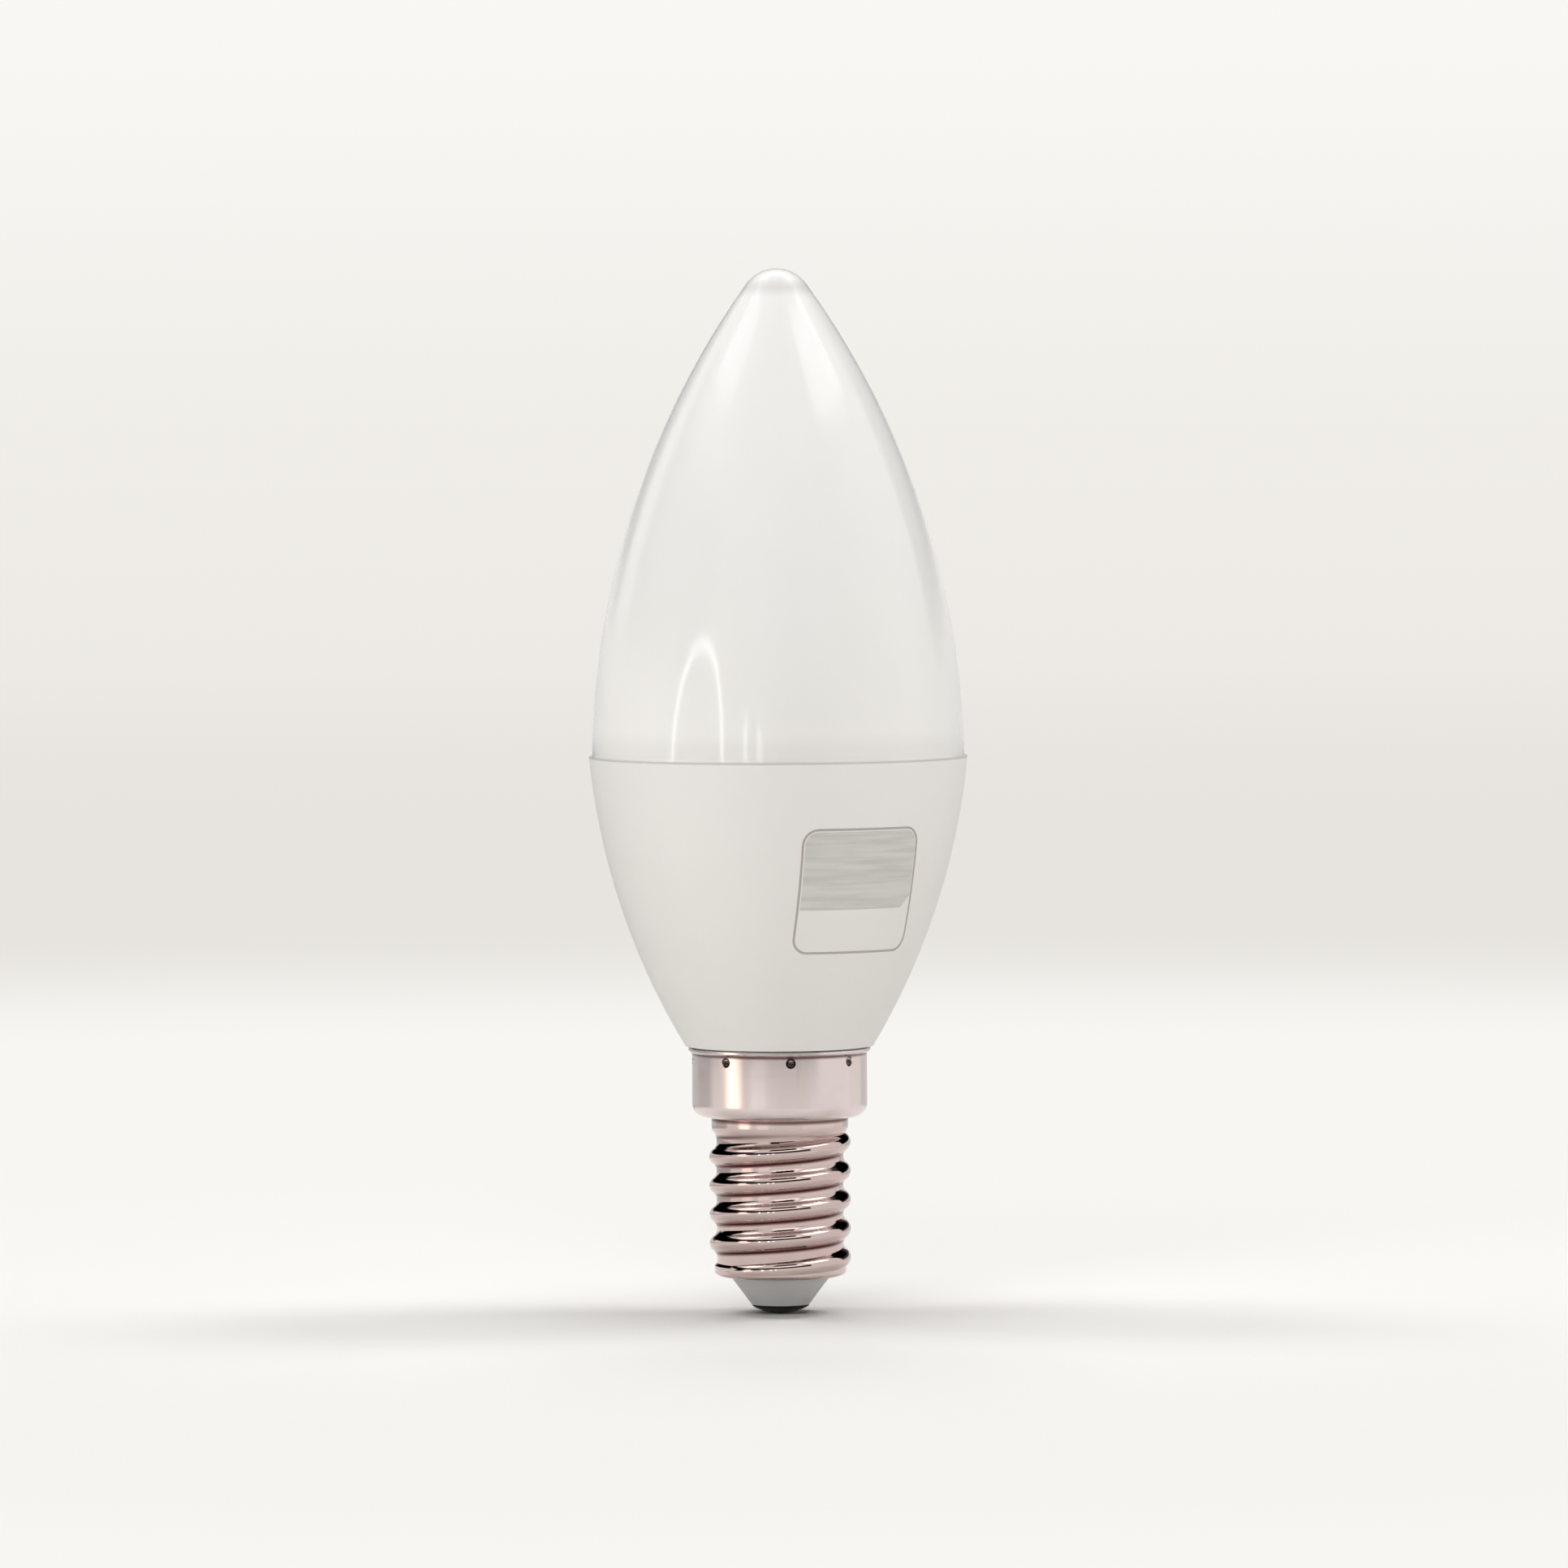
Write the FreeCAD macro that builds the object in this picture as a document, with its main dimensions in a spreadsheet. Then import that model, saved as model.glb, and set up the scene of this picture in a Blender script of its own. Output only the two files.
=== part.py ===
import FreeCAD
import Part
import Sketcher

import math
import os

# A candle-shaped LED bulb with a small Edison screw cap (14 mm thread, 17 mm skirt).
# The axis of the bulb is Z. The origin is the lowest point of the centre contact, and the tip points up.
# From the bottom: contact nail, insulator, screw cap, housing with the driver, LED board, diffuser.
# All sizes are millimetres.

# Driving sizes: name, number, what it measures
# Heights add up from the contact, so that what stands on a piece moves with it.
SIZES = [
    ("running_gap", 0.1, "radial clearance between pieces that slide into each other"),
    ("part_gap", 0.05, "gap between pieces that are pushed together"),
    # Contact nail and insulator
    ("contact_radius", 2.75, "radius of the contact's head"),
    ("contact_dome", 0.72, "height of the head's dome"),
    ("contact_rim", 0.18, "straight edge above the dome"),
    ("shank_radius", 0.8, "radius of the contact's shank"),
    ("shank_rise", 1.0, "how far the shank comes out of the insulator inside"),
    ("insulator_cone", 2.75, "height of the insulator's cone below the cap"),
    ("insulator_edge", 0.08, "how far the insulator stands out beside the contact"),
    ("insulator_flange", 1.65, "height of the insulator inside the cap"),
    # Screw cap
    ("cap_wall", 0.3, "sheet thickness of the cap"),
    ("lip_radius", 5.0, "hole in the bottom of the cap"),
    ("thread_pitch", 2.822, "nine turns to the inch"),
    ("thread_root", 6.145, "root radius of the thread"),
    ("thread_depth", 0.735, "height of the ridge over the root"),
    ("root_flat", 0.4, "width of the plain groove between two turns"),
    ("first_crest", 1.77, "lowest full crest, on the +X side, over the cap's lower face"),
    ("thread_sink", 0.1, "how deep the ends of the ridge are sunk into the sheet"),
    ("band_depth", 0.275, "how far the band below the thread stands out from the root"),
    ("band_height", 1.05, "height of that band's upper edge over the cap's lower face"),
    ("bottom_edge_width", 0.8, "how far the band turns in to the flat lower face"),
    ("bottom_round", 1.05, "round edge between the lower face and the band"),
    ("throat_depth", 0.5, "how far the plain neck stands out from the root"),
    ("throat_height", 0.85, "straight part of that neck"),
    ("throat_curve", 1.4, "height of the double curve from the thread's root to the neck"),
    ("thread_length", 15.55, "from the cap's lower face to the skirt"),
    ("skirt_radius", 8.5, "outer radius of the skirt"),
    ("skirt_height", 6.7, "height of the skirt"),
    ("skirt_round", 1.3, "round lower edge of the skirt"),
    ("flare", 0.35, "how far the skirt's top edge is turned out"),
    ("flare_rise", 0.3, "height of the turned-out cone"),
    ("flare_rim", 0.22, "height of the turned-out edge"),
    ("crimp_drop", 1.05, "from the skirt's top edge down to the crimp marks"),
    ("crimp_ball", 0.5, "radius of the punch"),
    ("crimp_stand_off", 0.1, "how far outside the skirt the punch's centre stops"),
    ("crimp_boss_root", 0.1, "how deep the boss inside each mark starts in the sheet"),
    ("crimp_boss_height", 0.275, "how far that boss stands out of the sheet"),
    # Housing
    ("foot_gap", 0.2, "gap between the skirt's top edge and the housing's foot"),
    ("foot_overhang", 0.3, "how far the foot stands out over the cap's edge"),
    ("housing_height", 28.15, "from the foot to the seam"),
    ("housing_bow", 67.3, "radius of the side's curve"),
    ("housing_wall", 2.0, "wall of the side"),
    ("rim_width", 0.32, "how far the housing's rim stands out over the diffuser"),
    ("ledge_width", 0.4, "width of the ledge that the heat spreader sits on"),
    ("floor_rise", 1.8, "height of the cavity's sloping floor"),
    ("collar_gap", 0.3, "gap between the collar's lower end and the cap's shelf"),
    ("collar_wall", 1.5, "wall of the collar inside the skirt"),
    ("neck_gap", 2.6, "space between insulator and neck, where a wire is bent out"),
    ("neck_wall", 1.0, "wall of the neck"),
    ("rail_width", 0.9, "thickness of the ribs that guide the driver board"),
    ("rail_grip", 0.6, "how far the ribs reach over the board's edge"),
    # Diffuser
    ("diffuser_radius", 18.06, "outer radius where the diffuser is widest"),
    ("diffuser_height", 47.25, "from the seam to the tip"),
    ("widest_drop", 1.01, "how far below the seam its side would run straight up"),
    ("tip_radius", 3.6, "radius of the round tip"),
    ("diffuser_wall", 1.0, "wall of the diffuser"),
    ("spigot_inset", 1.16, "from the widest radius in to the ring that plugs into the housing"),
    ("spigot_depth", 3.1, "how far that ring goes in"),
    ("bead_height", 0.2, "how far the snap bead stands out of the ring"),
    ("bead_width", 0.9, "width of the snap bead"),
    # Heat spreader and LED board
    ("spreader_plate", 1.2, "thickness of the spreader"),
    ("spreader_depth", 13.8, "how far the spreader's wall goes down"),
    ("board_gap", 0.5, "gap between the LED board and the diffuser's ring"),
    ("board_thickness", 1.0, "thickness of the LED board"),
    ("wire_hole", 2.2, "radius of the hole for the wires"),
    ("screw_inset", 3.0, "distance of the screws from the board's edge"),
    ("screw_radius", 1.0, "shank radius of the board screws"),
    ("screw_head_radius", 1.9, "head radius of the board screws"),
    ("screw_head_height", 1.2, "head height of the board screws"),
    ("screw_length", 3.0, "shank length of the board screws"),
    ("slot_width", 0.55, "width of the crossed slots in the screw heads"),
    ("slot_depth", 0.65, "depth of those slots"),
    ("notch_radius", 1.5, "radius of the notches in the board's edge"),
    ("led_inset", 7.0, "distance of the LEDs from the board's edge"),
    ("led_length", 3.5, "length of an LED package"),
    ("led_width", 2.8, "width of an LED package"),
    ("led_height", 0.75, "height of an LED package"),
    ("led_frame", 0.35, "frame round the LED's window"),
    ("led_window_depth", 0.1, "depth of the window"),
    ("terminal_length", 7.0, "length of the wire terminal"),
    ("terminal_width", 5.0, "width of the wire terminal"),
    ("terminal_height", 2.6, "height of the wire terminal"),
    # Driver board
    ("driver_thickness", 1.2, "thickness of the driver board"),
    ("driver_rise", 4.3, "from the neck's lower end up to the board's lower edge"),
    ("shoulder_rise", 4.1, "from the housing's foot up to where the board widens"),
    ("driver_slope", 2.2, "height of the slope between narrow and wide"),
    ("driver_drop", 3.8, "from the ledge down to the board's upper edge"),
    ("driver_clearance", 1.0, "space between the board and the heat spreader"),
    # What stands on the driver board; each drop is measured from the board's upper edge
    ("lane", 0.7, "half the space in the middle of the board"),
    ("can_radius", 3.5, "radius of the smoothing capacitor"),
    ("can_length", 11.0, "length of the smoothing capacitor"),
    ("can_drop", 1.9, "drop of the capacitor's upper end"),
    ("can_edge", 0.5, "round edge and bead of the capacitor's can"),
    ("can_lead_spread", 2.5, "distance between the capacitor's leads"),
    ("drum_radius", 3.4, "flange radius of the choke's core"),
    ("drum_height", 7.0, "height of the choke"),
    ("drum_drop", 5.8, "drop of the choke's middle"),
    ("drum_flange", 1.0, "thickness of the core's flanges"),
    ("drum_waist", 1.6, "radius of the core's middle"),
    ("winding_radius", 3.0, "outer radius of the winding"),
    ("film_length", 7.2, "length of the film capacitor"),
    ("film_depth", 4.0, "how far the film capacitor stands off the board"),
    ("film_height", 7.0, "height of the film capacitor"),
    ("film_drop", 2.5, "drop of the film capacitor's upper edge"),
    ("bridge_length", 4.7, "length of the bridge rectifier"),
    ("bridge_depth", 1.6, "how far the bridge rectifier stands off the board"),
    ("bridge_height", 3.9, "height of the bridge rectifier"),
    ("bridge_drop", 1.5, "drop of the bridge rectifier's upper edge"),
    ("chip_length", 4.9, "length of the driver chip"),
    ("chip_depth", 1.5, "how far the driver chip stands off the board"),
    ("chip_height", 3.9, "height of the driver chip"),
    ("chip_space", 1.2, "space between the legs of chip and bridge"),
    ("chip_inset", 1.75, "distance of chip and bridge from the middle of the board"),
    ("leg_pitch", 1.27, "distance from leg to leg"),
    ("leg_width", 0.42, "width of a leg"),
    ("leg_reach", 1.05, "how far the legs stand out"),
    ("leg_thickness", 0.22, "thickness of a leg"),
    ("fuse_radius", 1.35, "radius of the fuse resistor"),
    ("fuse_length", 6.2, "length of the fuse resistor"),
    ("fuse_waist", 1.15, "radius between the resistor's end caps"),
    ("fuse_rise", 8.1, "from the board's lower edge up to the resistor"),
    ("lead_radius", 0.3, "radius of the bare leads"),
    ("lead_reach", 1.6, "distance from a body's end to the hole for its lead"),
    ("lead_bend", 0.6, "radius of a bare lead's bend"),
    ("lead_end", 0.5, "how far a lead comes out of the board"),
    # Wires
    ("wire_radius", 0.5, "radius of an insulated wire"),
    ("wire_spread", 1.2, "distance of a wire from the middle of the board"),
    ("solder_length", 1.6, "length of wire that lies on the board"),
    ("wire_rise", 2.9, "height over which a wire comes in from the board to the middle"),
    ("wire_bend", 1.2, "bend of the wire that is led to the cap's wall"),
    ("lead_insert", 0.87, "how far the wires go up into the terminal"),
]
CRIMPS = 8
FIRST_CRIMP_DEGREES = -82.6
THREAD_TURNS = 4
LEDS = 6
FIRST_LED_DEGREES = 30
SCREW_SIDES = (-1, 1)
CHIP_LEGS = 4
BRIDGE_LEGS = 2

doc = FreeCAD.newDocument("CandleBulb")
sheet = doc.addObject("Spreadsheet::Sheet", "Sizes")
for row, (name, number, meaning) in enumerate(SIZES, start=1):
    sheet.set(f"A{row}", name)
    sheet.set(f"B{row}", str(number))
    sheet.set(f"C{row}", meaning)
    sheet.setAlias(f"B{row}", name)
worked_out = doc.addObject("App::VarSet", "WorkedOut")
doc.recompute()


class Size:
    """A number together with the formula that gives it in the document."""

    def __init__(self, value, formula):
        self.value = float(value)
        self.formula = formula

    def __add__(self, other):
        other = as_size(other)
        return Size(self.value + other.value, f"({self.formula} + {other.formula})")

    def __sub__(self, other):
        other = as_size(other)
        return Size(self.value - other.value, f"({self.formula} - {other.formula})")

    def __mul__(self, other):
        other = as_size(other)
        return Size(self.value * other.value, f"{self.formula} * {other.formula}")

    def __truediv__(self, other):
        other = as_size(other)
        return Size(self.value / other.value, f"{self.formula} / ({other.formula})")

    def __neg__(self):
        return Size(-self.value, f"(-1 * {self.formula})")

    def __radd__(self, other):
        return as_size(other) + self

    def __rsub__(self, other):
        return as_size(other) - self

    def __rmul__(self, other):
        return as_size(other) * self


def as_size(thing):
    return thing if isinstance(thing, Size) else Size(thing, f"({thing})")


def square_root(size):
    return Size(math.sqrt(size.value), f"sqrt({size.formula})")


def squared(size):
    return Size(size.value**2, f"({size.formula})^2")


def of_sheet(name):
    """The driving size of that name."""
    return Size(sheet.get(name), f"Sizes.{name}")


def named(name, size):
    """Keeps a worked-out size under a name of its own, so that formulas stay short."""
    worked_out.addProperty("App::PropertyFloat", name)
    worked_out.setExpression(name, size.formula)
    return Size(size.value, f"WorkedOut.{name}")


def across_at(centre, radius, height):
    """How far from the axis an upright arc is at a height. Its centre is (across, up)."""
    return centre[0] + square_root(squared(radius) - squared(height - centre[1]))


# Sketches


def plane_of(body, role):
    return next(f for f in body.Origin.OriginFeatures if f.Role == role)


def new_sketch(body, name, role, lift=None):
    sketch = body.newObject("Sketcher::SketchObject", name)
    sketch.AttachmentSupport = [(plane_of(body, role), "")]
    sketch.MapMode = "FlatFace"
    if lift is not None:
        sketch.setExpression("AttachmentOffset.Base.z", lift.formula)
    return sketch


def pin_point(sketch, curve, end, across, up):
    """Fixes one end of a curve at sizes measured from the sketch's origin."""
    origin_point = (-1, 1)
    vertical_axis, horizontal_axis = -2, -1
    for kind, size, axis in (
        ("DistanceX", across, vertical_axis),
        ("DistanceY", up, horizontal_axis),
    ):
        if isinstance(size, Size):
            rule = Sketcher.Constraint(kind, *origin_point, curve, end, size.value)
            index = sketch.addConstraint(rule)
            sketch.setExpression(f"Constraints[{index}]", size.formula)
        else:
            sketch.addConstraint(Sketcher.Constraint("PointOnObject", curve, end, axis))


def arc_between(start, end, radius, turns_left):
    """The shorter arc of that radius from start to end, as the sketcher wants it: anticlockwise."""
    chord = end - start
    left = FreeCAD.Vector(-chord.y, chord.x, 0).normalize()
    reach = math.sqrt(radius**2 - (chord.Length / 2) ** 2)
    centre = (start + end) / 2 + left * (reach if turns_left else -reach)
    first, last = (start, end) if turns_left else (end, start)
    angles = [math.atan2(p.y - centre.y, p.x - centre.x) for p in (first, last)]
    circle = Part.Circle(centre, FreeCAD.Vector(0, 0, 1), radius)
    return Part.ArcOfCircle(circle, angles[0], angles[1])


def outline(body, name, role, corners, lift=None, closed=True):
    """A sketch through corners (across, up) or (across, up, bow), closed or, for a path, open.

    A coordinate is a Size, or 0 on an axis. Bow is the radius of the arc that leads from that corner
    to the next one: (radius, "left") turns left on the way, and (radius, "right") turns right.
    """
    sketch = new_sketch(body, name, role, lift)
    points = [
        FreeCAD.Vector(as_size(corner[0]).value, as_size(corner[1]).value, 0)
        for corner in corners
    ]
    ends = []
    for index, corner in enumerate(corners if closed else corners[:-1]):
        start, end = points[index], points[(index + 1) % len(points)]
        if len(corner) == 2:
            sketch.addGeometry(Part.LineSegment(start, end))
            ends.append((1, 2))
            continue
        radius, side = corner[2]
        turns_left = side == "left"
        sketch.addGeometry(arc_between(start, end, radius.value, turns_left))
        ends.append((1, 2) if turns_left else (2, 1))
        rule = sketch.addConstraint(Sketcher.Constraint("Radius", index, radius.value))
        sketch.setExpression(f"Constraints[{rule}]", radius.formula)
    for index, (first, last) in enumerate(ends):
        pin_point(sketch, index, first, corners[index][0], corners[index][1])
        if closed or index + 1 < len(ends):
            following = (index + 1) % len(ends)
            rule = ("Coincident", index, last, following, ends[following][0])
            sketch.addConstraint(Sketcher.Constraint(*rule))
        else:
            pin_point(sketch, index, last, corners[-1][0], corners[-1][1])
    return sketch


def circles(body, name, role, centres, radius, lift=None):
    """A sketch of equal circles. Each centre is (across, up), with 0 on an axis."""
    sketch = new_sketch(body, name, role, lift)
    for index, (across, up) in enumerate(centres):
        place = FreeCAD.Vector(as_size(across).value, as_size(up).value, 0)
        circle = Part.Circle(place, FreeCAD.Vector(0, 0, 1), radius.value)
        sketch.addGeometry(circle)
        rule = sketch.addConstraint(Sketcher.Constraint("Radius", index, radius.value))
        sketch.setExpression(f"Constraints[{rule}]", radius.formula)
        pin_point(sketch, index, 3, across, up)
    return sketch


def rectangle(left, right, bottom, top):
    return [(left, bottom), (right, bottom), (right, top), (left, top)]


# Features


def new_body(label):
    body = doc.addObject("PartDesign::Body", label)
    body.Label = label
    return body


def turned(body, sketch, kind="Revolution"):
    """Turns a sketch once round the bulb's axis, as a solid or, with kind Groove, as a cut."""
    feature = body.newObject(f"PartDesign::{kind}", f"{sketch.Name}_{kind}")
    feature.Profile = sketch
    feature.ReferenceAxis = (sketch, ["V_Axis"])
    feature.Angle = 360
    return feature


def padded(body, sketch, length, both_ways=False):
    feature = body.newObject("PartDesign::Pad", f"{sketch.Name}_Pad")
    feature.Profile = sketch
    feature.Midplane = both_ways
    feature.setExpression("Length", length.formula)
    return feature


def drilled(body, sketch):
    """Cuts a sketch right through the body, both ways."""
    feature = body.newObject("PartDesign::Pocket", f"{sketch.Name}_Pocket")
    feature.Profile = sketch
    feature.Type = "ThroughAll"
    feature.Midplane = True
    return feature


def sunk(body, sketch, depth):
    """Cuts a sketch into the body, downwards from its plane."""
    feature = body.newObject("PartDesign::Pocket", f"{sketch.Name}_Pocket")
    feature.Profile = sketch
    feature.setExpression("Length", depth.formula)
    return feature


def piped(body, section, path):
    """Sweeps a sketch along an open sketch."""
    feature = body.newObject("PartDesign::AdditivePipe", f"{path.Name}_Pipe")
    feature.Profile = section
    runs = [f"Edge{number + 1}" for number in range(path.GeometryCount)]
    feature.Spine = (path, runs)
    return feature


# Sizes that several pieces share

gap = of_sheet("running_gap")
hair = of_sheet("part_gap")
cap_wall = of_sheet("cap_wall")

contact_head = named(
    "contact_head", of_sheet("contact_dome") + of_sheet("contact_rim")
)
cap_bottom = named("cap_bottom", contact_head + of_sheet("insulator_cone"))
cap_floor_top = named("cap_floor_top", cap_bottom + cap_wall)
flange_top = named("flange_top", cap_floor_top + of_sheet("insulator_flange"))
shank_top = named("shank_top", flange_top + of_sheet("shank_rise"))
neck_bottom = named("neck_bottom", flange_top + of_sheet("neck_gap"))
skirt_bottom = named("skirt_bottom", cap_bottom + of_sheet("thread_length"))
skirt_top = named("skirt_top", skirt_bottom + of_sheet("skirt_height"))
foot_height = named("foot_height", skirt_top + of_sheet("foot_gap"))
seam = named("seam", foot_height + of_sheet("housing_height"))
overall = named("overall", seam + of_sheet("diffuser_height"))
crimp_height = named("crimp_height", skirt_top - of_sheet("crimp_drop"))

thread_pitch = of_sheet("thread_pitch")
thread_root = of_sheet("thread_root")
thread_depth = of_sheet("thread_depth")
thread_crest = named("thread_crest", thread_root + thread_depth)
# One radius serves crest and groove, so that the wave is smooth from turn to turn
thread_arc = named(
    "thread_arc",
    (squared(thread_pitch / 2) + squared(thread_depth)) / (4 * thread_depth),
)
cap_bore = named("cap_bore", thread_root - cap_wall)
skirt = of_sheet("skirt_radius")
skirt_bore = named("skirt_bore", skirt - cap_wall)
skirt_round = of_sheet("skirt_round")
flare = of_sheet("flare")
foot = named("foot", skirt + flare + of_sheet("foot_overhang"))
collar = named("collar", skirt_bore - gap)
collar_bottom = named("collar_bottom", skirt_bottom + cap_wall + of_sheet("collar_gap"))
neck_radius = named("neck_radius", cap_bore - gap)
neck_bore = named("neck_bore", neck_radius - of_sheet("neck_wall"))

tip = of_sheet("tip_radius")
widest = of_sheet("diffuser_radius")
rim = named("rim", widest + of_sheet("rim_width"))
ring = named("ring", widest - of_sheet("spigot_inset"))
diffuser_wall = of_sheet("diffuser_wall")
widest_height = named("widest_height", seam - of_sheet("widest_drop"))
tip_centre = named("tip_centre", overall - tip)
tip_rise = named("tip_rise", tip_centre - widest_height)
# The diffuser's side is one arc, upright where it is widest and tangent to the round tip
diffuser_bow = named(
    "diffuser_bow",
    (squared(tip_rise) + squared(widest) - squared(tip)) / (2 * (widest - tip)),
)
diffuser_centre = (widest - diffuser_bow, widest_height)

housing_bow = of_sheet("housing_bow")
# The housing's side is an arc through rim and foot: its centre lies on their middle line
chord_across = rim - foot
chord_up = of_sheet("housing_height")
chord_share = named(
    "housing_chord_share",
    square_root(
        squared(housing_bow) / (squared(chord_across) + squared(chord_up)) - 1 / 4
    ),
)
housing_centre = (
    named("housing_centre_across", (rim + foot) / 2 - chord_up * chord_share),
    named("housing_centre_up", (seam + foot_height) / 2 + chord_across * chord_share),
)
inside_bow = named("housing_inside_bow", housing_bow - of_sheet("housing_wall"))

ring_bottom = named("ring_bottom", seam - of_sheet("spigot_depth"))
recess_bottom = named("recess_bottom", ring_bottom - gap)
spreader_top = named("spreader_top", recess_bottom - hair)
ledge = named("ledge", spreader_top - of_sheet("spreader_plate"))
spreader_radius = named(
    "spreader_radius",
    across_at(housing_centre, inside_bow, ledge) + of_sheet("ledge_width"),
)
spreader_bottom = named("spreader_bottom", ledge - of_sheet("spreader_depth"))
spreader_bow = named("spreader_bow", inside_bow - gap)
cup_bow = named("cup_bow", spreader_bow - of_sheet("spreader_plate"))
led_board_top = named("led_board_top", spreader_top + of_sheet("board_thickness"))
led_board_radius = named("led_board_radius", ring - diffuser_wall - of_sheet("board_gap"))

driver_face = named("driver_face", of_sheet("driver_thickness") / 2)
driver_bottom = named("driver_bottom", neck_bottom + of_sheet("driver_rise"))
driver_top = named("driver_top", ledge - of_sheet("driver_drop"))
tab_half_width = named(
    "tab_half_width",
    square_root(squared(neck_bore) - squared(driver_face)) - gap,
)
driver_half_width = named(
    "driver_half_width",
    across_at(housing_centre, cup_bow, spreader_bottom) - of_sheet("driver_clearance"),
)
can_across = named("can_across", -(of_sheet("can_radius") + of_sheet("lane")))
can_bottom = named(
    "can_bottom", driver_top - of_sheet("can_drop") - of_sheet("can_length")
)
fuse_bottom = named("fuse_bottom", driver_bottom + of_sheet("fuse_rise"))
wire_beside = named("wire_beside", driver_face + hair + of_sheet("wire_radius"))


def diffuser():
    """The moulded cover: candle shape, thin wall, plug ring with a snap bead."""
    body = new_body("diffuser")
    wall = diffuser_wall
    bead = of_sheet("bead_height")
    half_bead = of_sheet("bead_width") / 2
    bead_middle = seam - of_sheet("spigot_depth") / 2
    inside_bow = diffuser_bow - wall
    inside_tip = tip - wall
    join_share = tip / (diffuser_bow - tip)
    inside_share = inside_tip / (diffuser_bow - tip)
    shoulder = seam + wall
    corners = [
        (ring - wall, ring_bottom),
        (ring - bead, ring_bottom),
        (ring, ring_bottom + bead),
        (ring, bead_middle - half_bead),
        (ring + bead, bead_middle),
        (ring, bead_middle + half_bead),
        (ring, seam),
        (across_at(diffuser_centre, diffuser_bow, seam), seam, (diffuser_bow, "left")),
        (
            (diffuser_bow - widest) * join_share,
            tip_centre + tip_rise * join_share,
            (tip, "left"),
        ),
        (0, overall),
        (0, overall - wall, (inside_tip, "right")),
        (
            (diffuser_bow - widest) * inside_share,
            tip_centre + tip_rise * inside_share,
            (inside_bow, "right"),
        ),
        (across_at(diffuser_centre, inside_bow, shoulder), shoulder),
        (ring - wall, seam),
    ]
    turned(body, outline(body, "diffuser_section", "XZ_Plane", corners))
    return body


def housing():
    """The moulded body: curved side, recess for the diffuser, collar and neck for the cap."""
    body = new_body("housing")
    recess = ring + gap
    bead = of_sheet("bead_height")
    half_bead = of_sheet("bead_width") / 2
    bead_middle = seam - of_sheet("spigot_depth") / 2
    seat = spreader_radius + gap
    floor_top = foot_height + of_sheet("floor_rise")
    collar_bore = collar - of_sheet("collar_wall")
    corners = [
        (foot, foot_height, (housing_bow, "left")),
        (rim, seam),
        (recess, seam),
        (recess, bead_middle + half_bead),
        (recess + bead, bead_middle),
        (recess, bead_middle - half_bead),
        (recess, recess_bottom),
        (seat, recess_bottom),
        (seat, ledge),
        (across_at(housing_centre, inside_bow, ledge), ledge, (inside_bow, "right")),
        (across_at(housing_centre, inside_bow, floor_top), floor_top),
        (collar_bore, foot_height),
        (collar_bore, collar_bottom + 2 * of_sheet("neck_wall")),
        (neck_bore, collar_bottom),
        (neck_bore, neck_bottom),
        (neck_radius, neck_bottom),
        (neck_radius, collar_bottom),
        (collar - skirt_round, collar_bottom),
        (collar, collar_bottom + skirt_round),
        (collar, foot_height),
    ]
    turned(body, outline(body, "housing_section", "XZ_Plane", corners))

    # Ribs in the collar, in pairs, that hold the driver board's edges
    outer_end = collar_bore + of_sheet("collar_wall") / 2
    inner_end = tab_half_width - of_sheet("rail_grip")
    near = driver_face + gap
    far = near + of_sheet("rail_width")
    rail_bottom = collar_bottom + of_sheet("neck_wall")
    for name, left, right in (
        ("right_rail", inner_end, outer_end),
        ("left_rail", -outer_end, -inner_end),
    ):
        for side, low, high in (("back", near, far), ("front", -far, -near)):
            sketch = outline(
                body,
                f"{side}_{name}",
                "XY_Plane",
                rectangle(left, right, low, high),
                lift=rail_bottom,
            )
            padded(body, sketch, foot_height - rail_bottom)

    # Dents in the collar where the cap is crimped into it
    for number, degrees in enumerate(crimp_angles(), start=1):
        crimp_cone(
            body,
            "Subtractive",
            f"crimp_seat_{number}",
            degrees,
            skirt_bore + gap,
            of_sheet("crimp_ball") + cap_wall + gap,
            cap_wall + 2 * gap,
        )
    return body


def crimp_angles():
    return [FIRST_CRIMP_DEGREES + number * 360 / CRIMPS for number in range(CRIMPS)]


def placed_at_crimp(feature, degrees, across):
    """Puts a feature on the ring of crimp marks, that far from the axis."""
    feature.setExpression("Placement.Base.x", f"{across.formula} * cos({degrees})")
    feature.setExpression("Placement.Base.y", f"{across.formula} * sin({degrees})")
    feature.setExpression("Placement.Base.z", crimp_height.formula)


def crimp_cone(body, kind, name, degrees, across, radius, depth):
    """A blunt cone that points at the axis from one of the crimp marks."""
    cone = body.newObject(f"PartDesign::{kind}Cone", name)
    turn = FreeCAD.Rotation(FreeCAD.Vector(0, 0, 1), degrees)
    inwards = FreeCAD.Rotation(FreeCAD.Vector(0, 1, 0), -90)
    cone.Placement = FreeCAD.Placement(FreeCAD.Vector(), turn * inwards)
    placed_at_crimp(cone, degrees, across)
    cone.setExpression("Radius1", radius.formula)
    cone.setExpression("Radius2", (radius - cap_wall).formula)
    cone.setExpression("Height", depth.formula)


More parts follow.
